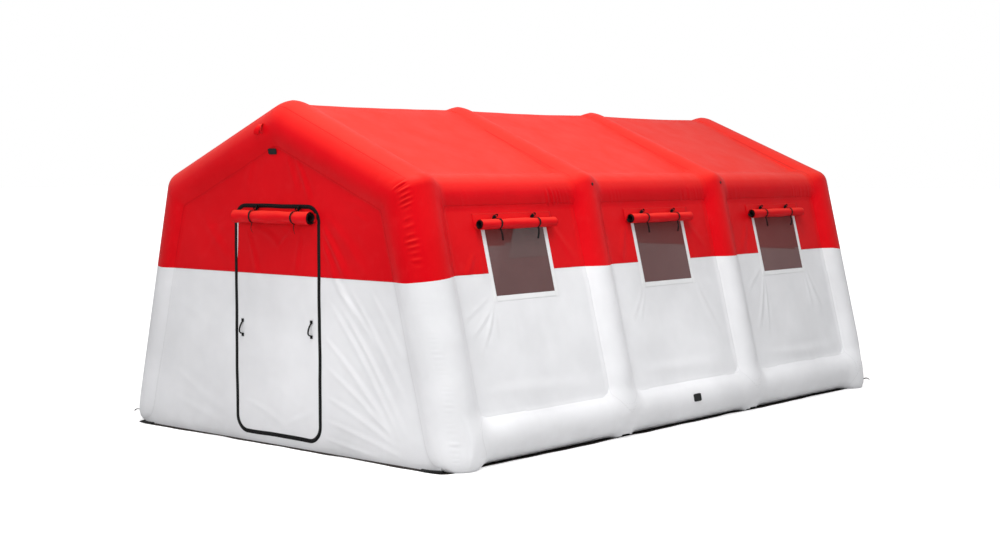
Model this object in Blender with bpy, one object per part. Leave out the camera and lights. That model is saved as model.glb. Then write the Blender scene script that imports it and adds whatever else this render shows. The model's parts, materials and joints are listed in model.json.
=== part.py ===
"""Inflatable isolation tent: a frame of fat air tubes with coated-cloth sheets sewn between them.

Metres, +Z up.  The origin is on the ground, under the middle of the tent.  The front gable, with the
zip door, faces -Y and the long window walls face +X and -X.  Cloth is red above one level seam and
white below it, so every tube and sheet is parted there.
"""
from math import ceil, cos, exp, hypot, pi, radians, sin, tan

import bmesh
import bpy
from mathutils import Vector

# ---------------------------------------------------------------- driving sizes
GAP = 0.0003             # clearance between neighbouring pieces
SHEET = 0.003            # coated cloth of the walls, gables and roof
SIDES = 16               # facets round an air tube

ARCH_COUNT = 4
ARCH_PITCH = 2.113       # from one arch to the next
ARCH_R = 0.245           # radius of an arch tube at the roof and the shoulders
FOOT_R = 0.232           # its radius at the ground
FOOT_X = 1.934           # the leg's centre line at the ground
EAVE_X, EAVE_Z = 1.395, 2.172    # its centre line at the shoulder
RIDGE_Z = 2.755          # its centre line at the ridge
MIDDLE_Y = 0.0424        # the tubes' middle; the door roll adds twice this much in front
SHOULDER_OUT, SHOULDER_IN = 0.13, 0.035   # rounding of the shoulder, outside and inside
CREST_OUT, CREST_IN = 0.26, 0.06          # rounding of the crest

EAVES_R = 0.188
BASE_R = 0.213
BASE_X, BASE_Z = 1.881, 0.206
SEAM_Z = 1.535           # red above, white below
GABLE_SEAM_Z = 1.492     # the same seam on the flat gable sheets

FLOOR = 0.0033           # top of the ground sheet and its clearance
GROUND_T = 0.003
GROUND_X, GROUND_Y = 2.025, 3.428

WALL_OUT = 0.150         # wall sheets lie this far outside the legs' centre lines
GABLE_OUT = 0.202        # gable sheets lie this far outside the end arches' centre lines
ROOF_RISE = 0.212        # roof sheet above the arch's centre line at the ridge
ROOF_EAVE = 0.150        # and at the eaves tube, where it runs into the tube's back
ROOF_SAG = 0.010         # dip of the roof sheet half way between two arches

# window: opening, its binding, the rolled flap and its ties
WIN_W = 0.770
WIN_Z0, WIN_Z1 = 1.345, 1.945
BIND_W = 0.046
BIND_T = 0.002           # how far the binding stands out of the sheet
FLAP_W = 1.030
FLAP_Z0, FLAP_Z1 = 1.915, 2.030
ROLL_L, ROLL_R, ROLL_Z = 0.990, 0.048, 1.932
ROLL_HOLE_R, ROLL_HOLE_D = 0.031, 0.040
TIE_W, TIE_T = 0.018, 0.002
TIE_AT = 0.250           # each tie from the middle of its roll
TIE_TAIL = 0.100

# door: zip line (centre of the band), panel, roll and handles
DOOR_X, DOOR_W = -0.010, 1.083
DOOR_Z0, DOOR_Z1 = 0.085, 2.084
DOOR_CORNER = 0.135
ZIP_W, ZIP_T = 0.036, 0.003
DOOR_ROLL_X0, DOOR_ROLL_X1 = -0.485, 0.505
DOOR_ROLL_R, DOOR_ROLL_Z = 0.060, 1.993
DOOR_TIE_X = (-0.238, 0.305)
HANDLE_X = (-0.468, 0.432)
HANDLE_Z = (0.950, 0.988)  # foot of each bow, left and right
HANDLE_H, HANDLE_TAB = 0.108, 0.020
HANDLE_BOW = 0.040
HANDLE_W, HANDLE_T = 0.020, 0.003

# bare patches
SIDE_PATCH_Y, SIDE_PATCH_W, SIDE_PATCH_H = 0.010, 0.120, 0.074    # along Y from the middle
APEX_PATCH_X, APEX_PATCH_Z, APEX_PATCH_W, APEX_PATCH_H = -0.042, 2.556, 0.106, 0.052
APEX_PATCH_LEAN = radians(13.5)    # its upper edge stands forward over the tube
PATCH_T = 0.0025

# Soft folds, one row each: where the crease starts and ends (across, up), half width, height.
# "across" runs along X on a gable and along Y from the middle of a bay on a wall.
GABLE_FOLDS = (
    dict(a0=0.24, z0=2.50, a1=0.42, z1=2.14, half=0.07, rise=0.012),
    dict(a0=0.62, z0=1.95, a1=0.95, z1=1.48, half=0.08, rise=0.014),
    dict(a0=0.66, z0=1.50, a1=1.30, z1=0.62, half=0.10, rise=0.016),
    dict(a0=0.98, z0=1.46, a1=1.50, z1=0.60, half=0.10, rise=0.014),
    dict(a0=0.66, z0=0.98, a1=1.45, z1=0.30, half=0.10, rise=0.012),
    dict(a0=0.72, z0=0.45, a1=1.50, z1=0.12, half=0.08, rise=0.010),
    dict(a0=-0.95, z0=1.95, a1=-0.62, z1=1.55, half=0.10, rise=0.008),
    dict(a0=-1.45, z0=0.60, a1=-0.70, z1=0.26, half=0.12, rise=0.008),
)
WALL_FOLDS = (
    dict(a0=-0.44, z0=1.30, a1=-0.70, z1=0.72, half=0.08, rise=0.014),
    dict(a0=-0.38, z0=1.26, a1=-0.46, z1=0.66, half=0.07, rise=-0.010),
    dict(a0=0.46, z0=1.36, a1=0.68, z1=0.86, half=0.09, rise=0.010),
    dict(a0=-0.50, z0=1.90, a1=-0.72, z1=1.52, half=0.08, rise=0.008),
    dict(a0=-0.60, z0=0.56, a1=0.62, z1=0.50, half=0.09, rise=0.008),
)
DOOR_FOLDS = (
    dict(a0=-0.30, z0=1.86, a1=0.02, z1=1.70, half=0.08, rise=0.010),
    dict(a0=0.02, z0=1.70, a1=0.36, z1=1.86, half=0.08, rise=0.010),
    dict(a0=-0.42, z0=0.36, a1=0.10, z1=0.24, half=0.09, rise=0.012),
)

# ---------------------------------------------------------------- derived directions
Y_ARCH = [MIDDLE_Y + (k - (ARCH_COUNT - 1) / 2) * ARCH_PITCH for k in range(ARCH_COUNT)]
LEG = hypot(EAVE_X - FOOT_X, EAVE_Z)
LEG_X, LEG_Z = (EAVE_X - FOOT_X) / LEG, EAVE_Z / LEG      # up the leg
OUT_X, OUT_Z = LEG_Z, -LEG_X                              # square to it, outward
ROOF = hypot(EAVE_X, RIDGE_Z - EAVE_Z)
ROOF_NX, ROOF_NZ = (RIDGE_Z - EAVE_Z) / ROOF, EAVE_X / ROOF   # roof normal, outward

for old in list(bpy.data.objects):
    bpy.data.objects.remove(old, do_unlink=True)


def paint(name, colour, rough, alpha=1.0):
    mat = bpy.data.materials.new(name)
    mat.use_nodes = True
    shader = mat.node_tree.nodes["Principled BSDF"]
    shader.inputs["Base Color"].default_value = (*colour, 1.0)
    shader.inputs["Roughness"].default_value = rough
    shader.inputs["Metallic"].default_value = 0.0
    shader.inputs["Alpha"].default_value = alpha
    mat.diffuse_color = (*colour, 1.0)
    return mat


RED = paint("red_coated_cloth", (0.72, 0.012, 0.020), 0.42)
WHITE = paint("white_coated_cloth", (0.82, 0.83, 0.85), 0.45)
MESH = paint("window_mesh", (0.11, 0.085, 0.085), 0.75)
BLACK = paint("black_webbing", (0.012, 0.012, 0.013), 0.60)
GROUND = paint("dark_ground_sheet", (0.030, 0.028, 0.028), 0.70)


def finish(name, bm, mat, angle=0.7):
    """Turns a bmesh into one named, smooth-shaded object with outward faces."""
    bmesh.ops.recalc_face_normals(bm, faces=bm.faces)
    if bm.calc_volume(signed=True) < 0:
        bmesh.ops.reverse_faces(bm, faces=bm.faces)
    mesh = bpy.data.meshes.new(name)
    bm.to_mesh(mesh)
    bm.free()
    mesh.materials.append(mat)
    mesh.shade_smooth()
    mesh.set_sharp_from_angle(angle=angle)
    obj = bpy.data.objects.new(name, mesh)
    bpy.context.scene.collection.objects.link(obj)
    return obj


def guide(obj):
    """Marks a body that only cuts or joins others."""
    obj.hide_render = True
    obj.display_type = 'WIRE'
    return obj


def combine(obj, others, how='DIFFERENCE', solver='EXACT'):
    for other in others:
        mod = obj.modifiers.new(how.title() + " " + other.name, 'BOOLEAN')
        mod.operation = how
        mod.solver = solver
        mod.object = other
    return obj


def skin(rings, closed=False):
    """Closed tube through rings of equal count; the ends are capped."""
    bm = bmesh.new()
    loops = [[bm.verts.new(p) for p in ring] for ring in rings]
    count = len(loops[0])
    for low, high in zip(loops, loops[1:] + (loops[:1] if closed else [])):
        for k in range(count):
            n = (k + 1) % count
            bm.faces.new((low[k], low[n], high[n], high[k]))
    if not closed:
        bm.faces.new(loops[0][::-1])
        bm.faces.new(loops[-1])
    return bm


# ---------------------------------------------------------------- air tubes
def leg_radius(z):
    return FOOT_R + (ARCH_R - FOOT_R) * min(1.0, z / EAVE_Z)


def leg_ring(side, y, z, scale, grow):
    """Level slice of a leaning leg."""
    r = leg_radius(z) * scale + grow
    axis = FOOT_X + (EAVE_X - FOOT_X) * z / EAVE_Z
    ring = []
    for k in range(SIDES):
        a = 2 * pi * k / SIDES
        ring.append((side * (axis + r * cos(a) / LEG_Z), y + r * sin(a), z))
    return ring


def rounded(corner, before, after, radius, steps=4):
    """Points of an arc that rounds one corner of a line in the XZ plane."""
    c, d0, d1 = Vector(corner), Vector(before).normalized(), Vector(after).normalized()
    bend = d0.angle(d1)
    reach = radius * tan(bend / 2)
    start = c - d0 * reach
    inward = (d1 - d0 * d0.dot(d1)).normalized()
    centre = start + inward * radius
    return [centre + (-inward * cos(bend * k / steps) + d0 * sin(bend * k / steps)) * radius
            for k in range(steps + 1)]


def arch_rings(y, grow, foot_z):
    """Rings of the upper arch, from the +X side over the crest to the -X side."""
    tracks = []
    mitre = 1 + OUT_X * ROOF_NX + OUT_Z * ROOF_NZ
    for k in range(SIDES):
        a = 2 * pi * k / SIDES
        r = ARCH_R + grow
        u = r * cos(a)
        share = (u + r) / (2 * r)
        foot_r = leg_radius(foot_z) + grow
        foot = (FOOT_X + (EAVE_X - FOOT_X) * foot_z / EAVE_Z + foot_r * cos(a) / LEG_Z, foot_z)
        knee = (EAVE_X + u * (OUT_X + ROOF_NX) / mitre, EAVE_Z + u * (OUT_Z + ROOF_NZ) / mitre)
        top = (0.0, RIDGE_Z + u / ROOF_NZ)
        up = Vector(knee) - Vector(foot)
        over = Vector(top) - Vector(knee)
        half = rounded(knee, up, over, SHOULDER_IN + (SHOULDER_OUT - SHOULDER_IN) * share)
        crest = rounded(top, over, (over.x, -over.y), CREST_IN + (CREST_OUT - CREST_IN) * share)
        line = [Vector(foot)] + half + crest + [Vector((-p.x, p.y)) for p in reversed(half)]
        line.append(Vector((-foot[0], foot[1])))
        tracks.append([(p.x, y + r * sin(a) if 0 < i < len(line) - 1 else y + foot_r * sin(a), p.y)
                       for i, p in enumerate(line)])
    return [[track[i] for track in tracks] for i in range(len(tracks[0]))]


# Bottom of a leg: height of each level slice and its share of the full radius.  An end leg stands on
# the ground on a rounded toe, and a middle leg sinks into the tube along the ground.
TOE = (dict(z=FLOOR, share=0.70), dict(z=0.036, share=0.86), dict(z=0.105, share=0.95),
       dict(z=0.260, share=1.0))
ROOT = (dict(z=0.120, share=0.50), dict(z=0.215, share=0.86), dict(z=0.320, share=0.965),
        dict(z=0.440, share=1.0))


def leg(name, side, y, mat, slices):
    rings = [leg_ring(side, y, row["z"], row["share"], 0.0) for row in slices]
    rings.append(leg_ring(side, y, SEAM_Z - GAP / 2, 1.0, 0.0))
    return finish(name, skin(rings), mat)


def whole_arch_cutter(name, y, slices):
    """A whole arch, grown by the clearance, that trims the pieces sewn to it."""
    right = [leg_ring(1, y, row["z"] - (0.02 if i == 0 else 0), row["share"], GAP)
             for i, row in enumerate(slices)]
    left = [[(-x, yy, z) for x, yy, z in ring] for ring in reversed(right)]
    return guide(finish(name, skin(right + arch_rings(y, GAP, SEAM_Z) + left), BLACK))


def long_tube(name, side, x, z, r, y0, y1, mat, grow=0.0, floor=None):
    rings = []
    for y in (y0, y1):
        ring = []
        for k in range(SIDES):
            a = 2 * pi * k / SIDES
            pz = z + (r + grow) * sin(a)
            ring.append((side * (x + (r + grow) * cos(a)), y, pz if floor is None else max(floor, pz)))
        rings.append(ring)
    return finish(name, skin(rings), mat)


ARCH_NAMES = ("front", "second", "third", "rear")
SIDE_NAMES = ((1, "near"), (-1, "far"))
BAYS = [(k + 1, Y_ARCH[k], Y_ARCH[k + 1]) for k in range(ARCH_COUNT - 1)]

LEG_SLICES = (TOE, ROOT, ROOT, TOE)
cut_arch = [whole_arch_cutter("cutter_arch_" + label, y, slices)
            for label, y, slices in zip(ARCH_NAMES, Y_ARCH, LEG_SLICES)]
for label, y in zip(ARCH_NAMES, Y_ARCH):
    finish("arch_" + label, skin(arch_rings(y, 0.0, SEAM_Z + GAP / 2)), RED)

cut_base, cut_eaves = {}, {}
for side, side_name in SIDE_NAMES:
    frame = long_tube("lower_frame_%s" % side_name, side, BASE_X, BASE_Z, BASE_R,
                      Y_ARCH[0], Y_ARCH[-1], WHITE, floor=FLOOR)
    combine(frame, [guide(leg("leg_%s_%s" % (side_name, label), side, y, WHITE, slices))
                    for label, y, slices in zip(ARCH_NAMES, Y_ARCH, LEG_SLICES)], 'UNION')
    cut_base[side] = guide(long_tube("cutter_base_%s" % side_name, side, BASE_X, BASE_Z, BASE_R,
                                     Y_ARCH[0], Y_ARCH[-1], WHITE, grow=GAP))
    for bay, y0, y1 in BAYS:
        tube = long_tube("eaves_tube_%s_%d" % (side_name, bay), side, EAVE_X, EAVE_Z, EAVES_R,
                         y0, y1, RED)
        combine(tube, [cut_arch[bay - 1], cut_arch[bay]])
        cut_eaves[side, bay] = guide(long_tube("cutter_eaves_%s_%d" % (side_name, bay), side,
                                               EAVE_X, EAVE_Z, EAVES_R, y0, y1, RED, grow=GAP))


# ---------------------------------------------------------------- sheets
def fold_height(folds, a, z):
    """Height of the soft folds at one place of a sheet."""
    total = 0.0
    for row in folds:
        da, dz = row["a1"] - row["a0"], row["z1"] - row["z0"]
        t = ((a - row["a0"]) * da + (z - row["z0"]) * dz) / (da * da + dz * dz)
        t = min(1.0, max(0.0, t))
        d = hypot(a - row["a0"] - t * da, z - row["z0"] - t * dz)
        total += row["rise"] * exp(-(d / row["half"]) ** 2) * (0.45 + 0.55 * sin(pi * t))
    return total


def ease(x, lo, hi):
    t = min(1.0, max(0.0, (x - lo) / (hi - lo)))
    return t * t * (3 - 2 * t)


def spread(values, step):
    """Fills a short list of grid lines so that none lie further apart than step."""
    out = [values[0]]
    for a, b in zip(values, values[1:]):
        n = max(1, ceil((b - a) / step - 1e-6))
        out += [a + (b - a) * i / n for i in range(1, n + 1)]
    return out


def sheet(name, mat, us, vs, place, hole=None, thick=SHEET, lift=None):
    """Closed cloth sheet on the grid us x vs.

    place(u, v) gives the middle of the cloth and its outward direction, hole(u, v) leaves a cell
    out, and lift(u, v) raises the outer face only."""
    bm = bmesh.new()
    cells = {(i, j) for i in range(len(us) - 1) for j in range(len(vs) - 1)
             if not (hole and hole((us[i] + us[i + 1]) / 2, (vs[j] + vs[j + 1]) / 2))}
    made = {}

    def corner(i, j, outer):
        if (i, j, outer) not in made:
            p, n = place(us[i], vs[j])
            h = thick / 2 + (lift(us[i], vs[j]) if lift and outer else 0.0)
            made[i, j, outer] = bm.verts.new(p + n * (h if outer else -h))
        return made[i, j, outer]

    for i, j in sorted(cells):
        loop = [(i, j), (i + 1, j), (i + 1, j + 1), (i, j + 1)]
        for tri in ((loop[0], loop[1], loop[2]), (loop[0], loop[2], loop[3])):    # both layers alike
            bm.faces.new([corner(a, b, True) for a, b in tri])
            bm.faces.new([corner(a, b, False) for a, b in reversed(tri)])
        for (a, b), (ni, nj) in zip(zip(loop, loop[1:] + loop[:1]),
                                    ((i, j - 1), (i + 1, j), (i, j + 1), (i - 1, j))):
            if (ni, nj) not in cells:
                bm.faces.new((corner(*a, True), corner(*a, False), corner(*b, False),
                              corner(*b, True)))
    return finish(name, bm, mat, 0.5)


def wall_place(side, middle, folds):
    """Places (along the bay, height) on a leaning wall."""
    def place(a, z):
        s = (z - OUT_Z * WALL_OUT) / LEG_Z
        calm = ease(max(abs(a) - WIN_W / 2, WIN_Z0 - z, z - 2.06), 0.05, 0.14)
        out = WALL_OUT + fold_height(folds, a, z) * calm
        return (Vector((side * (FOOT_X + LEG_X * s + OUT_X * out), middle + a,
                        LEG_Z * s + OUT_Z * out)), Vector((side * OUT_X, 0, OUT_Z)))
    return place


WALL_TOP, WALL_LOW = 2.13, 0.26
WALL_END = ARCH_PITCH / 2 - 0.12          # inside the arch tubes, which trim it
HALF = WIN_W / 2
STEP = 0.004                              # width of the binding's raised edge

for side, side_name in SIDE_NAMES:
    for bay, y0, y1 in BAYS:
        place = wall_place(side, (y0 + y1) / 2, WALL_FOLDS if side > 0 else ())
        step = 0.22 if side > 0 else 0.80       # the far wall is taut and plain
        tag = "%s_%d" % (side_name, bay)
        edge = HALF + BIND_W

        red = sheet("wall_upper_" + tag, RED,
                    spread([-WALL_END, -edge - GAP, edge + GAP, WALL_END], step),
                    spread([SEAM_Z + GAP / 2, WIN_Z1, WALL_TOP], step), place,
                    hole=lambda a, z: abs(a) < edge and z < WIN_Z1)
        combine(red, [cut_arch[bay - 1], cut_arch[bay], cut_eaves[side, bay]], solver='MANIFOLD')

        across = spread([-WALL_END, -edge - STEP, -edge, -HALF, HALF, edge, edge + STEP, WALL_END],
                        step)
        up = spread([WALL_LOW, WIN_Z0 - BIND_W - STEP, WIN_Z0 - BIND_W, WIN_Z0, SEAM_Z - GAP / 2,
                     WIN_Z1 - GAP], step)

        def missing(a, z):
            if z < WIN_Z0:
                return False
            return abs(a) < HALF or (z > SEAM_Z and abs(a) > edge)

        def binding(a, z):
            return BIND_T if abs(a) < edge + STEP / 2 and z > WIN_Z0 - BIND_W - STEP / 2 else 0.0

        white = sheet("wall_lower_" + tag, WHITE, across, up, place, hole=missing, lift=binding)
        combine(white, [cut_arch[bay - 1], cut_arch[bay], cut_base[side]])

        net = HALF - GAP
        sheet("window_mesh_" + tag, MESH, spread([-net, net], 0.40),
              spread([WIN_Z0 + GAP, WIN_Z1 - GAP], 0.35), place, thick=0.0015)


# ---------------------------------------------------------------- roof
def roof_place(middle):
    def place(a, x):
        share = min(1.0, abs(x) / EAVE_X)
        rise = ROOF_RISE + (ROOF_EAVE - ROOF_RISE) * share
        dip = ROOF_SAG * cos(pi * a / ARCH_PITCH) * (1 - 0.8 * share)
        soften = 0.016 * exp(-(x / 0.11) ** 2)
        ridge = RIDGE_Z + ROOF_RISE / ROOF_NZ
        low = EAVE_Z + ROOF_NZ * ROOF_EAVE
        lowx = EAVE_X + ROOF_NX * ROOF_EAVE
        z = ridge + (low - ridge) * abs(x) / lowx - dip - soften
        tip = 1.0 if x > 0 else (-1.0 if x < 0 else 0.0)
        slope = (ridge - low) / lowx
        return Vector((x, middle + a, z)), Vector((tip * slope, 0, 1)).normalized()
    return place


for bay, y0, y1 in BAYS:
    middle = (y0 + y1) / 2
    end = ARCH_PITCH / 2 - 0.06
    side_x = EAVE_X + 0.02
    lines = spread([-side_x, -0.70, -0.16, -0.07, 0.0, 0.07, 0.16, 0.70, side_x], 0.36)
    roof = sheet("roof_sheet_%d" % bay, RED, spread([-end, end], 0.42), lines, roof_place(middle))
    combine(roof, [cut_arch[bay - 1], cut_arch[bay], cut_eaves[1, bay], cut_eaves[-1, bay]])


# ---------------------------------------------------------------- gables and door
def outline_prism(name, points, y0, y1):
    """Straight prism along Y over an outline of (x, z) points."""
    return guide(finish(name, skin([[(x, y, z) for x, z in points] for y in (y0, y1)]), BLACK))


def door_outline(grow):
    """Rounded rectangle of the zip line, grown outward."""
    hw, r = DOOR_W / 2 + grow, DOOR_CORNER + grow
    z0, z1 = DOOR_Z0 - grow, DOOR_Z1 + grow
    centres = ((DOOR_X + hw - r, z1 - r), (DOOR_X - hw + r, z1 - r),
               (DOOR_X - hw + r, z0 + r), (DOOR_X + hw - r, z0 + r))
    points = []
    for quarter, (cx, cz) in enumerate(centres):
        for k in range(6):
            a = pi / 2 * (quarter + k / 5)
            points.append((cx + r * cos(a), cz + r * sin(a)))
    return points


FRONT_Y, REAR_Y = Y_ARCH[0] - GABLE_OUT, Y_ARCH[-1] + GABLE_OUT
pentagon = [(FOOT_X, -0.05), (EAVE_X, EAVE_Z), (0.0, RIDGE_Z), (-EAVE_X, EAVE_Z), (-FOOT_X, -0.05)]
cut_gable = outline_prism("guide_gable", pentagon, -4.0, 4.0)
cut_door = outline_prism("cutter_door", door_outline(0.0), -4.0, -2.8)
keep_door = outline_prism("guide_door", door_outline(-GAP), -4.0, -2.8)


def gable_place(y, facing, folds):
    """Places (x, z) on a gable; the cloth is kept flat along the zip line."""
    def place(x, z):
        away = max(abs(x - DOOR_X) - DOOR_W / 2, z - DOOR_Z1, DOOR_Z0 - z)
        out = fold_height(folds, x, z) * ease(abs(away), 0.045, 0.13) * ease(z, 0.0, 0.10)
        return Vector((x, y + facing * out, z)), Vector((0, facing, 0))
    return place


WIDE, TALL = 1.98, 2.78
DX0, DX1 = DOOR_X - DOOR_W / 2, DOOR_X + DOOR_W / 2
front = gable_place(FRONT_Y, -1, GABLE_FOLDS)
columns = spread([-WIDE, DX0 - 0.13, DX0 - 0.045, DX0 + 0.045, DX1 - 0.045, DX1 + 0.045,
                  DX1 + 0.13, WIDE], 0.22)
rows_high = spread([GABLE_SEAM_Z + GAP / 2, DOOR_Z1 - 0.045, DOOR_Z1 + 0.045, DOOR_Z1 + 0.13, TALL],
                   0.22)
rows_low = spread([FLOOR, 0.10, GABLE_SEAM_Z - GAP / 2], 0.22)
for label, mat, rows in (("upper", RED, rows_high), ("lower", WHITE, rows_low)):
    body = sheet("gable_front_" + label, mat, columns, rows, front,
                 hole=lambda x, z: abs(x - DOOR_X) < DOOR_W / 2 - 0.05 and 0.25 < z < DOOR_Z1 - 0.2)
    combine(body, [cut_gable], 'INTERSECT', 'MANIFOLD')
    combine(body, [cut_arch[0], cut_door], solver='MANIFOLD')

rear = gable_place(REAR_Y, 1, ())
for label, mat, rows in (("upper", RED, spread([GABLE_SEAM_Z + GAP / 2, TALL], 0.7)),
                         ("lower", WHITE, spread([FLOOR, GABLE_SEAM_Z - GAP / 2], 0.8))):
    body = sheet("gable_rear_" + label, mat, spread([-WIDE, 0.0, WIDE], 1.0), rows, rear)
    combine(body, [cut_gable], 'INTERSECT', 'MANIFOLD')
    combine(body, [cut_arch[-1]], solver='MANIFOLD')

panel = gable_place(FRONT_Y, -1, DOOR_FOLDS)
columns = spread([DX0 - 0.01, DX0 + 0.045, DX0 + 0.13, DX1 - 0.13, DX1 - 0.045, DX1 + 0.01], 0.18)
for label, mat, rows in (
        ("upper", RED, [GABLE_SEAM_Z + GAP / 2, 1.58, 1.67, 1.76, 1.85, 1.93, DOOR_Z1 - 0.045,
                        DOOR_Z1 + 0.01]),
        ("lower", WHITE, [DOOR_Z0 - 0.01, DOOR_Z0 + 0.045, DOOR_Z0 + 0.13, 0.31, 0.40, 0.55, 0.80,
                          1.15, GABLE_SEAM_Z - GAP / 2])):
    body = sheet("door_panel_" + label, mat, columns, rows, panel)
    combine(body, [keep_door], 'INTERSECT')

# zip band, laid over the joint between the door panel and the gable
FACE_Y = FRONT_Y - SHEET / 2              # outer face of the front gable
outer, inner = door_outline(ZIP_W / 2), door_outline(-ZIP_W / 2)
near_y, far_y = FACE_Y - GAP, FACE_Y - GAP - ZIP_T
band = [[(xo, near_y, zo), (xo, far_y, zo), (xi, far_y, zi), (xi, near_y, zi)]
        for (xo, zo), (xi, zi) in zip(outer, inner)]
finish("door_zip_band", skin(band, closed=True), BLACK, 0.5)


# ---------------------------------------------------------------- rolls, ties, handles, patches
def roll_rings(length, radius, bulges, hole_r, hole_d, hole_at_start=True):
    """Rings of a rolled-up flap along its own length; one end is hollow."""
    rings, sides = [], 12
    stations = [(-0.5 + i / (len(bulges) - 1), b) for i, b in enumerate(bulges)]
    for at, bulge in stations:
        rings.append((at * length, radius * bulge))
    ends = [(-length / 2 + hole_d, hole_r), (-length / 2, hole_r)]
    path = ends + rings
    if not hole_at_start:
        path = [(-a, r) for a, r in path][::-1]
    return [[(a, r * cos(2 * pi * k / sides), r * sin(2 * pi * k / sides)) for k in range(sides)]
            for a, r in path]


BULGES = (1.0, 0.98, 0.93, 1.01, 1.01, 0.93, 0.98, 1.0)     # a roll is drawn in under its two ties


def strapped(at, length):
    """Share of the full radius that a strap rests on, at metres from the middle of a roll."""
    def share(t):
        k = min(max((t / length + 0.5) * (len(BULGES) - 1), 0.0), len(BULGES) - 1.001)
        i = int(k)
        return BULGES[i] + (BULGES[i + 1] - BULGES[i]) * (k - i)
    return max(share(at - TIE_W / 2), share(at + TIE_W / 2))


def wall_point(side, y, z, out):
    """Point out metres outside a wall's outer face."""
    s = (z - OUT_Z * WALL_OUT) / LEG_Z
    o = WALL_OUT + SHEET / 2 + out
    return Vector((side * (FOOT_X + LEG_X * s + OUT_X * o), y, LEG_Z * s + OUT_Z * o))


def ribbon(name, points, across, width, thick, mat):
    """Webbing strip along points; its width runs along the vector across."""
    across = Vector(across).normalized()
    rings = []
    for i, p in enumerate(points):
        ahead = (points[min(i + 1, len(points) - 1)] - points[max(i - 1, 0)]).normalized()
        face = ahead.cross(across).normalized()
        rings.append([p + across * (sx * width / 2) + face * (sf * thick / 2)
                      for sx, sf in ((-1, -1), (1, -1), (1, 1), (-1, 1))])
    return finish(name, skin(rings), mat, 0.5)


def tie_points(centre, up, out, along, radius, tail, drift):
    """Strap over a roll: down its outer side, then a free tail."""
    turn = pi * 0.099
    r = radius / cos(turn / 2) + GAP + TIE_T / 2      # the straight steps clear the roll as well
    points = [centre + (up * sin(a) + out * cos(a)) * r
              for a in [pi * 0.82 - turn * k for k in range(14)]]
    last = points[-1]
    for k in range(1, 5):
        t = k / 4
        points.append(last + Vector((0, 0, -1)) * tail * t + out * (0.014 * sin(pi * t) + 0.012 * t)
                      + along * drift * t * t)
    return points


for side, side_name in SIDE_NAMES:
    out = Vector((side * OUT_X, 0, OUT_Z))
    up = Vector((side * LEG_X, 0, LEG_Z))
    for bay, y0, y1 in BAYS:
        middle = (y0 + y1) / 2
        tag = "%s_%d" % (side_name, bay)
        lay = BIND_T + GAP                       # the flap lies over the binding's top ends
        strip = sheet("window_flap_" + tag, RED, [-FLAP_W / 2, FLAP_W / 2], [FLAP_Z0, FLAP_Z1],
                      lambda a, z: (wall_point(side, middle + a, z, lay + SHEET / 2), out))
        centre = wall_point(side, middle, ROLL_Z, lay + SHEET + ROLL_R - 0.0025)
        rings = [[centre + Vector((0, a, 0)) + out * p + up * q for a, p, q in ring]
                 for ring in roll_rings(ROLL_L, ROLL_R, BULGES, ROLL_HOLE_R, ROLL_HOLE_D)]
        combine(strip, [guide(finish("guide_roll_" + tag, skin(rings), RED))], 'UNION')
        if side < 0:
            continue
        for end, label in ((-1, "front"), (1, "back")):
            at = centre + Vector((0, end * TIE_AT, 0))
            ribbon("tie_%s_%s" % (tag, label),
                   tie_points(at, up, out, Vector((0, 1, 0)),
                              ROLL_R * strapped(end * TIE_AT, ROLL_L), TIE_TAIL,
                              0.03 if end < 0 else -0.012), (0, 1, 0), TIE_W, TIE_T, BLACK)

out, up = Vector((0, -1, 0)), Vector((0, 0, 1))
roll_mid = (DOOR_ROLL_X0 + DOOR_ROLL_X1) / 2
centre = Vector((roll_mid, FACE_Y - ZIP_T - 2 * GAP - DOOR_ROLL_R * 1.01, DOOR_ROLL_Z))
rings = [[centre + Vector((a, 0, 0)) + out * p + up * q for a, p, q in ring]
         for ring in roll_rings(DOOR_ROLL_X1 - DOOR_ROLL_X0, DOOR_ROLL_R, BULGES, 0.034, 0.05, False)]
finish("door_roll", skin(rings), RED)
for x, label in zip(DOOR_TIE_X, ("left", "right")):
    ribbon("door_tie_" + label,
           tie_points(Vector((x, centre.y, centre.z)), up, out, Vector((1, 0, 0)),
                      DOOR_ROLL_R * strapped(x - roll_mid, DOOR_ROLL_X1 - DOOR_ROLL_X0), TIE_TAIL,
                      0.015 if label == "left" else 0.02), (1, 0, 0), TIE_W, TIE_T, BLACK)

for x, z0, label in zip(HANDLE_X, HANDLE_Z, ("left", "right")):
    lay, z1 = FACE_Y - GAP - HANDLE_T / 2, z0 + HANDLE_H
    points = [Vector((x, lay, z0 - HANDLE_TAB)), Vector((x, lay, z0 - 0.004))]
    for k in range(9):
        t = k / 8
        bow = HANDLE_BOW * sin(pi * t) ** 0.7 if 0 < k < 8 else 0.004
        points.append(Vector((x, lay - bow, z0 + 0.004 + (HANDLE_H - 0.008) * t)))
    points += [Vector((x, lay, z1 + 0.004)), Vector((x, lay, z1 + HANDLE_TAB))]
    ribbon("door_handle_" + label, points, (1, 0, 0), HANDLE_W, HANDLE_T, BLACK)


def plate(name, middle, right, up, out, width, height, thick, mat):
    bm = bmesh.new()
    low = [middle + right * sx * width / 2 + up * sz * height / 2
           for sx, sz in ((-1, -1), (1, -1), (1, 1), (-1, 1))]
    a = [bm.verts.new(p) for p in low]
    b = [bm.verts.new(p + out * thick) for p in low]
    bm.faces.new(a[::-1])
    bm.faces.new(b)
    for k in range(4):
        n = (k + 1) % 4
        bm.faces.new((a[k], a[n], b[n], b[k]))
    return finish(name, bm, mat, 0.5)


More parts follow.
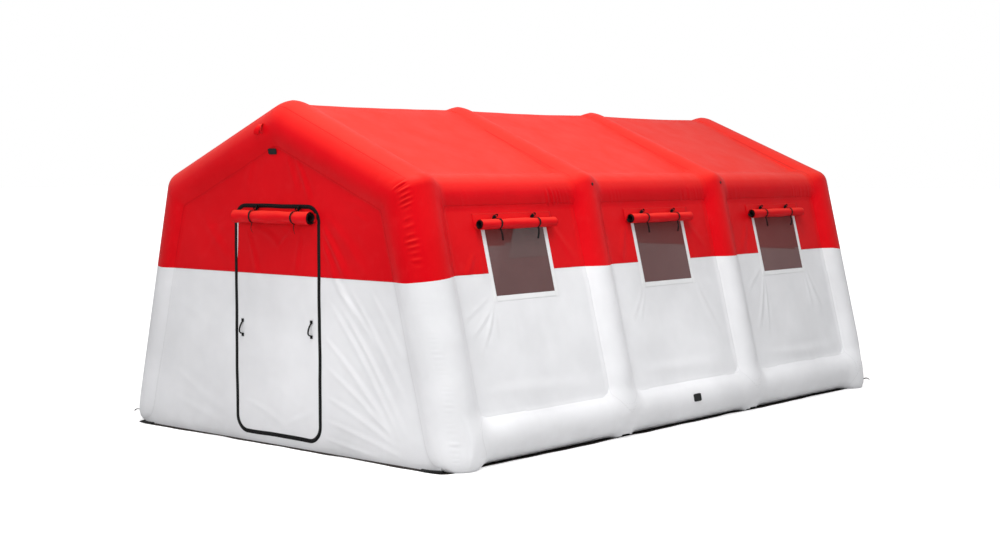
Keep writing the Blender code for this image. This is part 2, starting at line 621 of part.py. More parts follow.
facet = pi / SIDES                        # the facet just above the tube's widest line
normal = Vector((cos(facet), 0, sin(facet)))
apothem = BASE_R * cos(facet)
plate("side_patch", Vector((BASE_X, MIDDLE_Y + SIDE_PATCH_Y, BASE_Z)) + normal * (apothem + GAP),
      Vector((0, 1, 0)), Vector((-sin(facet), 0, cos(facet))), normal,
      SIDE_PATCH_W, SIDE_PATCH_H, PATCH_T, BLACK)
lean = APEX_PATCH_LEAN
plate("apex_patch", Vector((APEX_PATCH_X, FACE_Y - GAP - sin(lean) * APEX_PATCH_H / 2, APEX_PATCH_Z)),
      Vector((1, 0, 0)), Vector((0, -sin(lean), cos(lean))), Vector((0, -cos(lean), -sin(lean))),
      APEX_PATCH_W, APEX_PATCH_H, PATCH_T, BLACK)

# ---------------------------------------------------------------- ground sheet
bm = bmesh.new()
corner = 0.10
outline = []
for quarter, (sx, sy) in enumerate(((1, 1), (-1, 1), (-1, -1), (1, -1))):
    for k in range(5):
        a = pi / 2 * (quarter + k / 4)
        outline.append((sx * (GROUND_X - corner) + corner * cos(a),
                        MIDDLE_Y + sy * (GROUND_Y - corner) + corner * sin(a)))
finish("ground_sheet", skin([[(x, y, z) for x, y in outline] for z in (0.0, GROUND_T)]), GROUND, 0.5)
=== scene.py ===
"""Looks of the inflatable isolation tent: air tubes, sewn sheets, windows, door and trim.

Every size repeats the part's own, in metres, in the row frame.  Tubes and sheets are skins laid on
smooth distance fields, so that neighbouring pieces run into each other as sewn cloth does.
"""
import json
from math import ceil, cos, hypot, pi, radians, sin, tan

import bpy
import numpy as np
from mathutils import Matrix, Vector

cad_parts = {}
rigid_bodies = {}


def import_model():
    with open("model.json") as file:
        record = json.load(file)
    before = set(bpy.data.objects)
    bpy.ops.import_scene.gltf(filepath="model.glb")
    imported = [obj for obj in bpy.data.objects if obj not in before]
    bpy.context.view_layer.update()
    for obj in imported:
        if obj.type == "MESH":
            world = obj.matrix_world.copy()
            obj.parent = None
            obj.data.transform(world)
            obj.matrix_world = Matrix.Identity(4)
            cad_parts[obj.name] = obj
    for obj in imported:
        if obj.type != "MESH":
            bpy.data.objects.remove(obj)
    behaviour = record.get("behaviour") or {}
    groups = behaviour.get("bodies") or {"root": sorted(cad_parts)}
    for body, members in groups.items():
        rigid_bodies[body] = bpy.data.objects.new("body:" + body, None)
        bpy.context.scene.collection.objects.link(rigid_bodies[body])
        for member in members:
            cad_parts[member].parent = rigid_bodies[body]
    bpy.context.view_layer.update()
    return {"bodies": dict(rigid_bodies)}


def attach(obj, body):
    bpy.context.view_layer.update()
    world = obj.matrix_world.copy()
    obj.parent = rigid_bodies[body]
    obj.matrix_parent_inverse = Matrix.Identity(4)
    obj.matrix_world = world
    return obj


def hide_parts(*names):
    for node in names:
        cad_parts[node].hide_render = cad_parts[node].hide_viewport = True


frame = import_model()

root = next(iter(frame["bodies"]))

# ---------------------------------------------------------------- sizes, as in the part
SHEET = 0.003
ARCH_PITCH, ARCH_R, FOOT_R, FOOT_X = 2.113, 0.245, 0.232, 1.934
EAVE_X, EAVE_Z, RIDGE_Z, MIDDLE_Y = 1.395, 2.172, 2.755, 0.0424
SHOULDER_OUT, SHOULDER_IN, CREST_OUT, CREST_IN = 0.13, 0.035, 0.26, 0.06
EAVES_R, BASE_R, BASE_X, BASE_Z = 0.188, 0.213, 1.881, 0.206
SEAM_Z, GABLE_SEAM_Z, FLOOR = 1.535, 1.492, 0.0033
# the ground sheet reaches out so far that its dark rim also stands for the shadow gap under the
# ground tubes: partly its real edge, partly painted shadow
GROUND_X, GROUND_Y, GROUND_CORNER = 2.025, 3.428, 0.10
WALL_OUT, GABLE_OUT, GABLE_WIDE, GABLE_TOP = 0.150, 0.202, 1.94, 2.62
WALL_Z0, WALL_Z1 = 0.27, 2.13
ROOF_RISE, ROOF_EAVE, ROOF_SAG = 0.212, 0.150, 0.010
WIN_W, WIN_Z0, WIN_Z1, BIND_W, BIND_T = 0.770, 1.345, 1.945, 0.046, 0.002
FLAP_W, FLAP_Z0, FLAP_Z1 = 1.030, 1.915, 2.030
ROLL_L, ROLL_R, ROLL_Z = 0.990, 0.048, 1.932
TIE_W, TIE_T, TIE_AT, TIE_TAIL, DOOR_TIE_TAIL = 0.018, 0.002, 0.250, 0.100, 0.085
DOOR_X, DOOR_W, DOOR_Z0, DOOR_Z1, DOOR_CORNER = -0.010, 1.083, 0.085, 2.084, 0.135
ZIP_T = 0.003
DOOR_ROLL_X0, DOOR_ROLL_X1, DOOR_ROLL_R, DOOR_ROLL_Z = -0.485, 0.505, 0.060, 1.993
DOOR_TIE_X = (-0.238, 0.305)
HANDLE_X, HANDLE_Z = (-0.468, 0.432), (0.950, 0.988)
HANDLE_H, HANDLE_BOW, HANDLE_W = 0.108, 0.040, 0.020

Y_ARCH = [MIDDLE_Y + (k - 1.5) * ARCH_PITCH for k in range(4)]
LEG = hypot(EAVE_X - FOOT_X, EAVE_Z)
LEG_X, LEG_Z = (EAVE_X - FOOT_X) / LEG, EAVE_Z / LEG
OUT_X, OUT_Z = LEG_Z, -LEG_X
ROOF = hypot(EAVE_X, RIDGE_Z - EAVE_Z)
ROOF_NX, ROOF_NZ = (RIDGE_Z - EAVE_Z) / ROOF, EAVE_X / ROOF
FRONT_Y, REAR_Y = Y_ARCH[0] - GABLE_OUT, Y_ARCH[3] + GABLE_OUT
FACE_Y = FRONT_Y - SHEET / 2
MIDDLES = [(Y_ARCH[k] + Y_ARCH[k + 1]) / 2 for k in range(3)]
ARCH_NAMES = ("front", "second", "third", "rear")
BAYS, SIDES = (1, 2, 3), ((1, "near"), (-1, "far"))
GROUND_Z = FLOOR + 0.0006                   # skins stop just above the ground sheet
FINE, CELL = 0.016, {1: 0.016, -1: 0.05}    # grid steps of the sheets that show, of both walls

# how softly skins run together, in metres
SOFT, CRISP = 0.048, 0.024                  # sheets with arches, gables with end arches
FOOT, KNEE = 0.11, 0.06                     # legs with the ground tube, arches with the eaves tubes
TO_EAVES, TO_BASE = 0.035, 0.03             # sheets with the eaves tubes and the ground tube
SEWN = 0.004                                # how far a sheet's edge sinks under a tube's skin


def add(name, data, place=(0, 0, 0)):
    obj = bpy.data.objects.new(name, data)
    obj.location = place
    bpy.context.scene.collection.objects.link(obj)
    return obj


# ---------------------------------------------------------------- camera
camera = add("camera", bpy.data.cameras.new("camera"), (10.371, -12.324, 2.416))
camera.rotation_euler = (radians(90 - 3.903), 0, radians(41.0))
camera.data.lens, camera.data.sensor_width = 56.63, 36.0
camera.data.clip_end = 400
bpy.context.scene.camera = camera


# ---------------------------------------------------------------- node material helpers
class Tree:
    """Short hand for building a node material."""

    def __init__(self, name, colour, rough, shine):
        self.mat = bpy.data.materials.new(name)
        self.mat.use_nodes = True
        self.tree = self.mat.node_tree
        self.shader = self.tree.nodes["Principled BSDF"]
        self.set("Base Color", rgba(colour))
        self.set("Roughness", rough)
        self.set("Specular IOR Level", shine)
        self.mat.diffuse_color = rgba(colour)
        self.place = self.node("TexCoord", out=3)

    def set(self, socket, value):
        if isinstance(value, bpy.types.NodeSocket):
            self.tree.links.new(value, self.shader.inputs[socket])
        else:
            self.shader.inputs[socket].default_value = value

    def node(self, kind, *ins, out=0, **props):
        node = self.tree.nodes.new("ShaderNode" + kind)
        for key, value in props.items():
            setattr(node, key, value)
        for key, value in (ins[0].items() if ins and isinstance(ins[0], dict) else enumerate(ins)):
            if isinstance(value, bpy.types.NodeSocket):
                self.tree.links.new(value, node.inputs[key])
            else:
                node.inputs[key].default_value = value
        return node.outputs[out]

    def map(self, name):
        """Both axes of a UV map."""
        uv = self.node("UVMap", uv_map=name)
        return [self.node("SeparateXYZ", uv, out=i) for i in (0, 1)]

    def math(self, how, *ins):
        return self.node("Math", *ins, operation=how)

    def mul(self, a, b):
        return self.math("MULTIPLY", a, b)

    def most(self, values):
        """The largest of some values that are at least 0."""
        top = 0.0
        for value in values:
            top = self.math("MAXIMUM", top, value)
        return top

    def wave(self, x, pitch):
        return self.math("SINE", self.mul(x, 2 * pi / pitch))

    def noise(self, scale, detail=3.0, rough=0.55):
        return self.node("TexNoise", {"Vector": self.place, "Scale": scale, "Detail": detail,
                                      "Roughness": rough})

    def span(self, x, lo, hi, to_lo=0.0, to_hi=1.0):
        return self.node("MapRange", {"Value": x, "From Min": lo, "From Max": hi,
                                      "To Min": to_lo, "To Max": to_hi})

    def line(self, x, at, half, soft):
        """1 on a line of a coordinate, 0 away from it."""
        return self.span(self.math("ABSOLUTE", self.math("SUBTRACT", x, at)), half + soft, half)

    def mix(self, share, a, b):
        return self.node("Mix", {0: share, 6: a, 7: b}, out=2, data_type='RGBA')

    def bump(self, height, distance, strength, after=None):
        ins = {"Height": height, "Distance": distance, "Strength": strength}
        if after is not None:
            ins["Normal"] = after
        return self.node("Bump", ins)


def rgba(colour, times=1.0, plus=0.0):
    return (*(min(1, c * times + plus) for c in colour), 1)


THREAD, DASH, WEAVE = 0.0006, 0.0052, 0.0016     # half a thread, pitches of stitches and weave
DUST = (0.38, 0.36, 0.33)


def cloth(name, colour, rough, pale, stitch, seams=(), soil=0.0, stitched=(), upward_highlight=None, rings=(),
          shine=0.30, tint=(1, 1, 1), joint_line_and_shade=0.3):
    """Coated cloth.  seams are heights of level seams, stitched are distances from a sewn joint,
    rings are seam lines along a tube, faded is the colour where it faces the sky, a painted
    highlight on the upward faces."""
    t = Tree(name, colour, rough, shine)
    (u, v), (away, along) = t.map("cloth"), t.map("joint")
    height = t.node("SeparateXYZ", t.place, out=2)
    broad, fine = t.noise(0.9, 4.0), t.noise(9.0, 4.0, 0.6)
    # colour: broad unevenness, a rubbed bloom, a painted highlight where it faces up and dust near
    # the ground
    tone = t.mix(t.span(broad, 0.35, 0.68), rgba(colour, 0.90), rgba(colour, 1.05, pale))
    tone = t.mix(t.mul(t.span(fine, 0.55, 0.8), 0.22), tone, rgba(colour, 1, 0.02 + pale))
    # painted highlight: faces that look up take a lighter, more orange colour
    if upward_highlight is not None:
        up = t.node("SeparateXYZ", t.node("NewGeometry", out=1), out=2)
        share = t.mul(t.span(up, 0.18, 0.86), t.span(broad, 0.25, 0.75, 0.80, 1.0))
        tone = t.mix(share, tone, rgba(upward_highlight))
    if soil:
        low = t.mul(t.span(height, 0.34, 0.0), t.span(fine, 0.3, 0.7))
        tone = t.mix(t.mul(low, soil), tone, rgba(DUST))
    # sewing: a pressed line at each joint with rows of stitches beside it; the dark joint line is
    # partly the pressed joint and partly painted crease shade
    above = t.span(height, 2.28, 2.40)
    pressed_line_and_shade = t.most(
        [t.mul(t.line(away, 0.0, 0.0012, 0.004), joint_line_and_shade)]
        + [t.mul(above, t.line(u, at, 0.0022, 0.003)) for at in rings]
        + [t.line(height, at, 0.0008, 0.003) for at in seams])
    thread = t.most(
        [t.line(away, at, THREAD, THREAD) for at in stitched]
        + [t.mul(above, t.line(u, at + side, 0.0007, 0.0007))
           for at in rings for side in (-0.009, 0.009)]
        + [t.line(height, at + side, THREAD, THREAD)
           for at in seams for side in (-0.006, -0.013, 0.006, 0.013)])
    thread = t.mul(thread, t.span(t.wave(along, DASH), -0.5, 0.1))
    # the pressed lines darken the colour, at the joints partly as painted crease shade
    tone = t.mix(t.mul(pressed_line_and_shade, 0.55), tone, rgba(colour, 0.5))
    t.set("Base Color", t.mix(t.mul(thread, 0.5), tone, rgba(stitch)))
    t.set("Roughness", t.span(t.noise(3.5), 0.3, 0.7, rough - 0.05, rough + 0.07))
    # relief: weave, crinkle, broad dents and the sewing
    relief = t.bump(t.mul(t.wave(u, WEAVE), t.wave(v, WEAVE)), 0.00006, 0.35)
    relief = t.bump(fine, 0.0022, 0.55, relief)
    relief = t.bump(t.noise(2.6, 2.0, 0.45), 0.012, 0.5, relief)
    t.set("Normal", t.bump(t.math("SUBTRACT", thread, pressed_line_and_shade), 0.0012, 0.7, relief))
    t.set("Specular Tint", rgba(tint))
    return t.mat


RED_C, WHITE_C = (0.660, 0.0012, 0.0068), (0.772, 0.780, 0.808)
RED_THREAD, WHITE_THREAD = (0.42, 0.004, 0.008), (0.66, 0.66, 0.68)
# faded: a lighter, more orange colour where red cloth faces up, a painted highlight
RED_OPT = dict(upward_highlight=(0.73, 0.033, 0.022), shine=0.13, tint=(1.0, 0.28, 0.22))
WHITE_OPT = dict(soil=0.10, shine=0.26)
HEM = (0.008,)                                   # a row of stitches, metres from the joint


def white_cloth(name, **more):
    return cloth(name, WHITE_C, 0.48, 0.012, WHITE_THREAD, **WHITE_OPT, **more)


RED = cloth("red_coated_cloth", RED_C, 0.46, 0.003, RED_THREAD, seams=(SEAM_Z,), stitched=HEM,
            joint_line_and_shade=0.12, **RED_OPT)
RED_TUBE = cloth("red_tube_cloth", RED_C, 0.44, 0.003, RED_THREAD, joint_line_and_shade=0.15, **RED_OPT,
                 rings=(ARCH_R * radians(320), ARCH_R * radians(22)))
# the gable's joint with the front arch is darkest: partly the sewn joint, partly painted shade in
# the crease under the tube
RED_GABLE = cloth("red_gable_cloth", RED_C, 0.48, 0.003, RED_THREAD, seams=(GABLE_SEAM_Z,),
                  stitched=HEM, joint_line_and_shade=0.5, **RED_OPT)
WHITE = white_cloth("white_coated_cloth", seams=(SEAM_Z,), stitched=HEM)
WHITE_TUBE = white_cloth("white_tube_cloth")
WHITE_GABLE = white_cloth("white_gable_cloth", seams=(GABLE_SEAM_Z,), stitched=HEM)
BINDING = cloth("white_binding", (0.80, 0.81, 0.83), 0.50, 0.01, (0.62, 0.62, 0.64),
                stitched=(0.004, 0.010))
FLAP = cloth("red_flap_cloth", (0.66, 0.0015, 0.007), 0.50, 0.003, RED_THREAD,
             stitched=(0.004, 0.009), **RED_OPT)


def net(pitch=0.0018):
    t = Tree("window_net", (0.050, 0.035, 0.035), 0.7, 0.2)
    threads = t.math("MAXIMUM", *(t.wave(x, pitch) for x in t.map("cloth")))
    # the net's reddish brown is partly its own dark colour and partly painted: it stands in for the
    # shaded red inside of the tent seen through it
    tone = t.mix(t.span(t.noise(5.0), 0.3, 0.7), (0.118, 0.056, 0.054, 1), (0.132, 0.066, 0.063, 1))
    t.set("Base Color", t.mix(t.span(threads, 0.2, 1.0), tone, (0.088, 0.044, 0.043, 1)))
    t.set("Alpha", 0.83)
    t.set("Normal", t.bump(threads, 0.0003, 0.5))
    return t.mat


def webbing(colour=(0.006, 0.006, 0.0065), pitch=0.0022):
    t = Tree("black_webbing", colour, 0.6, 0.12)
    u, v = t.map("cloth")
    ribs = t.wave(t.math("ADD", v, t.math("PINGPONG", u, 0.004)), pitch)
    worn = t.span(t.noise(60.0, 4.0), 0.45, 0.8)
    t.set("Base Color", t.mix(t.mul(worn, 0.30), rgba(colour), (0.03, 0.03, 0.032, 1)))
    t.set("Roughness", t.span(worn, 0, 1, 0.52, 0.72))
    t.set("Normal", t.bump(ribs, 0.0004, 0.8))
    return t.mat


def plain(name, colour, rough, grain, depth, spread=0.12):
    """Rubber, plastic or plain cloth with a fine grain and uneven tone."""
    t = Tree(name, colour, rough, 0.2)
    fine = t.noise(grain, 5.0, 0.65)
    t.set("Base Color", t.mix(t.span(fine, 0.3, 0.75), rgba(colour, 1 - spread),
                              rgba(colour, 1 + spread, 0.003)))
    t.set("Roughness", t.span(t.noise(grain / 4), 0.3, 0.7, rough - 0.06, rough + 0.08))
    t.set("Normal", t.bump(fine, depth, 0.5))
    return t.mat


NET, WEBBING = net(), webbing()
GROUND_CLOTH = plain("dark_ground_sheet", (0.018, 0.012, 0.010), 0.72, 90.0, 0.0008)
# painted shade: near-black cloth for the inner turns of the rolls, standing in for the shade in
# their hollow
ROLL_INNER_SHADE = plain("roll_inner_shade", (0.014, 0.006, 0.006), 0.75, 140.0, 0.0006)
TEETH = plain("zip_teeth", (0.008, 0.008, 0.009), 0.38, 300.0, 0.0002)
PATCH = plain("bare_patch", (0.011, 0.012, 0.012), 0.55, 220.0, 0.0003)


# ---------------------------------------------------------------- mesh helpers
class Piece:
    """Collects grids of points into one mesh with a cloth map and a joint map."""

    def __init__(self, name):
        self.name, self.co, self.faces, self.uv, self.joint, self.slots = name, [], [], [], [], []
        self.count, self.mats = 0, []

    def grid(self, P, mat, uv=None, joint=None, keep=None, wrap=False, flip=False):
        """P is rows x columns x 3; wrap closes the columns; uv, joint are rows x columns (+1)."""
        n, m = P.shape[:2]
        cols = m if wrap else m - 1
        i, j = np.meshgrid(np.arange(n - 1), np.arange(cols), indexing="ij")
        quads = np.stack([i * m + j, i * m + (j + 1) % m, (i + 1) * m + (j + 1) % m,
                          (i + 1) * m + j], -1)
        width = cols + 1
        flat = np.stack([i * width + j, i * width + j + 1, (i + 1) * width + j + 1,
                         (i + 1) * width + j], -1)
        pick = np.ones((n - 1, cols), bool) if keep is None else keep
        quads, flat = quads[pick], flat[pick]
        if flip:
            quads, flat = quads[:, ::-1], flat[:, ::-1]
        if uv is None:
            s, w = (np.concatenate([[0], np.cumsum(np.linalg.norm(np.diff(P, axis=k), axis=2)
                                                   .mean(1 - k))]) for k in (0, 1))
            w = np.append(w, w[-1] * (1 + 1 / (m - 1))) if wrap else w
            uv = np.stack(np.meshgrid(s, w, indexing="ij")[::-1], -1)
        if joint is None:
            joint = np.ones((n, width, 2))
        used, local = np.unique(quads, return_inverse=True)
        if mat not in self.mats:
            self.mats.append(mat)
        self.co.append(P.reshape(-1, 3)[used])
        self.faces.append(local.reshape(-1, 4) + self.count)
        self.uv.append(uv.reshape(-1, 2)[flat].reshape(-1, 2))
        self.joint.append(joint.reshape(-1, 2)[flat].reshape(-1, 2))
        self.slots.append(np.full(len(quads), self.mats.index(mat)))
        self.count += len(used)
        return self

    def make(self, replaces=(), slot=None, sharp=None):
        mesh = bpy.data.meshes.new(self.name)
        mesh.from_pydata(np.concatenate(self.co).tolist(), [],
                         np.concatenate(self.faces).tolist())
        for name, data in (("cloth", self.uv), ("joint", self.joint)):
            mesh.uv_layers.new(name=name).data.foreach_set(
                "uv", np.concatenate(data).astype(np.float32).ravel())
        for mat in self.mats:
            mesh.materials.append(mat)
        mesh.polygons.foreach_set("material_index", np.concatenate(self.slots).astype(np.int32))
        mesh.polygons.foreach_set("use_smooth", [True] * len(mesh.polygons))
        if sharp is not None:
            mesh.set_sharp_from_angle(angle=sharp)
        obj = add(self.name, mesh)
        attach(obj, root)
        if replaces:
            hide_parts(*([replaces] if isinstance(replaces, str) else replaces))
        return obj


def graded(a, b, fine, coarse, margin):
    """Grid lines from a to b: fine steps within margin of both ends, coarse ones between."""
    margin = min(margin, (b - a) / 2)
    ends = np.linspace(0, margin, max(2, ceil(margin / fine) + 1))
    inner = np.linspace(a + margin, b - margin, max(2, ceil((b - a - 2 * margin) / coarse) + 1))
    return np.unique(np.round(np.concatenate([a + ends, inner, b - ends]), 7))


def merged(*spans):
    return np.unique(np.concatenate(spans))


def even(step, margin, *stops):
    """Grid lines through stops, with one step between all of them."""
    return merged(*(graded(a, b, step, step, margin) for a, b in zip(stops, stops[1:])))


def grid_of(a, b):
    return np.meshgrid(a, b, indexing="ij")


def stacked(*xyz):
    """Points from their coordinates, each broadcast to the others' shape."""
    return np.stack(np.broadcast_arrays(*xyz), -1)


def lengths(points):
    """Running length along a line of points."""
    return np.concatenate([[0], np.cumsum(np.linalg.norm(np.diff(points, axis=0), axis=1))])


def vectors(*values):
    return [np.array(tuple(v), float) for v in values]


def ease(x, lo, hi):
    t = np.clip((x - lo) / (hi - lo), 0, 1)
    return t * t * (3 - 2 * t)


# ---------------------------------------------------------------- folds of the cloth
def folds(rows, a, z):
    """Height of soft folds, from rows of a0, z0, a1, z1 in centimetres and half width, rise and bow
    in millimetres: a crease from (a0, z0) to (a1, z1) on the sheet, bowed sideways."""
    total = np.zeros(np.broadcast(a, z).shape)
    for a0, z0, a1, z1, half, rise, bow in rows:
        a0, z0, da, dz = a0 / 100, z0 / 100, (a1 - a0) / 100, (z1 - z0) / 100
        length = hypot(da, dz)
        t = ((a - a0) * da + (z - z0) * dz) / length ** 2
        s = ((z - z0) * da - (a - a0) * dz) / length - bow / 1000 * 4 * t * (1 - t)
        width = half / 1000 * (0.65 + 0.5 * np.clip(t, 0, 1))
        body = np.exp(-(s / width) ** 2) - 0.45 * np.exp(-((s - 1.6 * width) / width) ** 2)
        total = total + rise / 1000 * body * np.sin(pi * np.clip(t, 0, 1)) ** 0.55
    return total


def ripple(a, z, seed, size=0.0011):
    """Slight unevenness that all taut cloth has."""
    w = 0.0
    for k in range(6):
        turn = 2.399 * (k + seed)
        reach = 0.42 + 0.23 * ((k * 37 + seed * 11) % 7)
        w = w + np.sin(2 * pi * (a * cos(turn) + z * sin(turn)) / reach + 1.7 * k + seed)
    return size * w / 2


WALL_CREASES = {
    1: ((-43, 130, -61, 100, 18, 4.2, 8), (-44, 129, -78, 103, 18, 4, 12),
        (-46, 136, -86, 117, 20, 3, 10), (-45, 124, -74, 86, 20, 2.6, 15),
        (-43, 127, -47, 98, 18, 2, 0), (-58, 170, -70, 152, 30, 5, 0),
        (-50, 166, -52, 146, 20, 4, 0), (44, 134, 78, 92, 34, 4, -20),
        (-20, 126, -24, 80, 30, 2, 0), (10, 124, 20, 60, 50, -2, 0), (-80, 58, 80, 50, 60, 4, 20),
        (52, 190, 74, 160, 36, 4, 0)),
    2: ((-42, 133, -70, 102, 22, 3, 15), (-40, 129, -58, 98, 20, 2.5, 0),
        (43, 134, 70, 78, 40, 6, -20), (-55, 186, -68, 156, 40, 5, 0),
        (50, 188, 72, 162, 36, 4, 0), (-70, 56, 70, 52, 60, 5, 0)),
    3: ((-42, 133, -70, 78, 26, 6, 20), (-41, 130, -54, 70, 24, 5, 10),
        (-43, 140, -78, 116, 22, 3.5, 0), (43, 134, 60, 88, 36, 6, -10),
        (40, 128, 42, 92, 26, 4, 0), (-56, 184, -72, 155, 40, 5, 0), (-70, 54, 76, 50, 50, 6, -20)),
}
FAR_CREASES = (
    (42, 132, 68, 80, 50, 6, 0), (-42, 132, -70, 76, 50, 6, 0), (-70, 55, 70, 52, 60, 5, 0),
)
GABLE_CREASES = (
    (25, 250, 43, 212, 30, 8, 10), (14, 252, 26, 220, 40, 5, 0), (58, 192, 86, 150, 34, 13, 10),
    (57, 180, 74, 150, 28, 9, 0), (62, 202, 110, 152, 50, 6, 20), (80, 216, 116, 210, 30, 5, 0),
    (92, 206, 114, 196, 26, 4, 0), (60, 162, 96, 116, 34, 8, 20), (74, 142, 124, 92, 26, 7.5, 20),
    (80, 126, 154, 24, 30, 9.5, 30), (92, 140, 154, 52, 28, 7.5, 20),
    (64, 130, 148, 20, 32, 8, 40), (114, 142, 152, 86, 28, 6, 10), (60, 98, 138, 24, 30, 8, 30),
    (60, 74, 142, 20, 28, 7.5, 20), (62, 48, 144, 14, 26, 7, 20), (60, 28, 150, 7, 22, 6.5, 10),
    (58, 13, 125, 3, 18, 5, 0), (-100, 196, -62, 156, 60, 6, 0), (-98, 160, -62, 198, 50, 4, 0),
    (-95, 186, -60, 190, 30, 4, 0), (-140, 120, -66, 90, 60, 2, 0),
    (-146, 58, -66, 20, 50, 2.8, -20), (-146, 30, -72, 10, 40, 2.8, 0),
    (-30, 256, -42, 220, 40, 3, 0),
)
DOOR_CREASES = (
    (-34, 188, 4, 172, 30, 7, 50), (2, 172, 36, 188, 28, 6, 50), (-22, 190, 20, 188, 30, 7, 90),
    (-40, 186, -26, 140, 36, 6, 20), (30, 186, 22, 150, 30, 5, 0), (-46, 36, 10, 16, 30, 4, 30),
    (-30, 60, 30, 34, 40, 1.5, 30), (10, 20, 46, 34, 30, 3.5, 0), (30, 130, 42, 80, 50, 3, 0),
)
REAR_CREASES = (
    (-130, 130, -40, 40, 70, 8, 40), (130, 130, 50, 40, 70, 8, -40),
    (-30, 250, -60, 170, 50, 5, 0), (30, 250, 66, 180, 50, 5, 0), (-120, 36, 120, 30, 60, 6, 0),
)


# ---------------------------------------------------------------- distance fields
def smin(a, b, k):
    h = np.clip(0.5 + 0.5 * (b - a) / k, 0, 1)
    return b + (a - b) * h - k * h * (1 - h)


def smax(a, b, k):
    return -smin(-a, -b, k)


def offset(p):
    """Metres outside the centre line of an arch, in its own plane."""
    x, z = np.abs(p[..., 0]), p[..., 2]
    leg = (x - FOOT_X) * OUT_X + z * OUT_Z
    low = ease(z, 0.62, 0.10) * (p[..., 0] > 0)
    leg = leg * (1 + 0.12 * low * (leg > 0))         # the near feet are drawn in on their outside
    here, back = (s * x * ROOF_NX + (z - RIDGE_Z) * ROOF_NZ for s in (1, -1))
    share = np.clip(np.maximum(leg, here) / (2 * ARCH_R) + 0.5, 0, 1)
    here = smax(here, back, 0.0186 + 0.062 * share)
    return smax(leg, here, 0.015 + 0.040 * share)


def girth(z, k):
    """Radius of arch k at a height; end legs stand on a rounded toe, middle ones sink inwards."""
    if k in (0, 3):
        share = 1 - 0.31 * np.exp(-np.maximum(z, 0) / 0.05)
    else:
        share = 1 - 0.5 * np.exp(-np.maximum(z - 0.12, 0) / 0.075)
    return (FOOT_R + (ARCH_R - FOOT_R) * np.clip(z / EAVE_Z, 0, 1)) * share


def arch_field(k):
    return lambda p: np.hypot(offset(p), p[..., 1] - Y_ARCH[k]) - girth(p[..., 2], k)


def base_field(side):
    return lambda p: np.hypot(side * p[..., 0] - BASE_X, p[..., 2] - BASE_Z) - BASE_R


def eaves_field(side):
    return lambda p: np.hypot(side * p[..., 0] - EAVE_X, p[..., 2] - EAVE_Z) - EAVES_R


def wall_height(side, bay, a, z):
    rows = WALL_CREASES[bay] if side > 0 else FAR_CREASES
    calm = ease(np.maximum(np.abs(a) - WIN_W / 2, np.maximum(WIN_Z0 - z, z - 2.06)), 0.045, 0.10)
    return (folds(rows, a, z) + ripple(a, z, bay + (3 if side < 0 else 0))) * calm


def wall_field(side, bay):
    def field(p):
        out = (side * p[..., 0] - FOOT_X) * OUT_X + p[..., 2] * OUT_Z - WALL_OUT - SHEET / 2
        return out - wall_height(side, bay, p[..., 1] - MIDDLES[bay - 1], p[..., 2])
    return field


def roof_height(bay, a, x):
    share = np.minimum(1.0, np.abs(x) / EAVE_X)
    ridge, low = RIDGE_Z + ROOF_RISE / ROOF_NZ, EAVE_Z + ROOF_NZ * ROOF_EAVE
    lowx = EAVE_X + ROOF_NX * ROOF_EAVE
    dip = ROOF_SAG * np.cos(pi * a / ARCH_PITCH) * (1 - 0.8 * share)
    soft = 0.016 * np.exp(-(x / 0.11) ** 2)
    return ridge + (low - ridge) * np.abs(x) / lowx - dip - soft + ripple(a, x, bay + 7, 0.0012)


def roof_field(bay):
    return lambda p: (p[..., 2] - roof_height(bay, p[..., 1] - MIDDLES[bay - 1], p[..., 0])) \
        * ROOF_NZ - SHEET / 2


def gable_height(facing, x, z):
    if facing > 0:
        return (folds(REAR_CREASES, x, z) + ripple(x, z, 21)) * ease(z, 0.0, 0.10)
    away = np.maximum(np.abs(x - DOOR_X) - DOOR_W / 2, np.maximum(z - DOOR_Z1, DOOR_Z0 - z))
    calm = ease(np.abs(away), 0.022, 0.075) * ease(z, 0.0, 0.10)
    inside = folds(DOOR_CREASES, x, z) + ripple(x, z, 31)
    outside = folds(GABLE_CREASES, x, z) + ripple(x, z, 41, 0.0014)
    return np.where(away < 0, inside, outside) * calm


def gable_field(facing):
    y0 = FRONT_Y if facing < 0 else REAR_Y
    return lambda p: facing * (p[..., 1] - y0) - SHEET / 2 \
        - gable_height(facing, p[..., 0], p[..., 2])


def room_field(bay, ends=(None, None)):
    """The room behind the walls and roof of a bay, cut off at y > ends[0] and y < ends[1]."""
    near, far, roof = wall_field(1, bay), wall_field(-1, bay), roof_field(bay)

    def field(p):
        sides = [near(p), far(p), roof(p), WALL_Z0 - p[..., 2]]
        if ends[0] is not None:
            sides.append(ends[0] - p[..., 1])
        if ends[1] is not None:
            sides.append(p[..., 1] - ends[1])
        return np.maximum.reduce(sides)
    return field


def porch_field(facing):
    """The room behind a gable sheet, inside the end arch's centre line."""
    sheet = gable_field(facing)
    return lambda p: np.maximum(sheet(p), offset(p))


def settle(P, own, others, steps=7, reach=0.03, nudge=1e-4):
    """Moves points onto the smooth union of a field and its neighbours, given as (field, k).

    Returns the points and the directions out of the surface."""
    def total(q):
        d = own(q)
        for other, k in others:
            d = smin(d, other(q), k)
        return d

    P = P.copy()
    for step in range(steps + 1):
        d = total(P)
        slope = np.stack([(total(P + nudge * e) - d) / nudge for e in np.eye(3)], -1)
        size = np.maximum((slope ** 2).sum(-1), 0.15)
        if step < steps:
            P -= (np.clip(d, -reach, reach) / size)[..., None] * slope
    return P, slope / np.sqrt(size)[..., None]


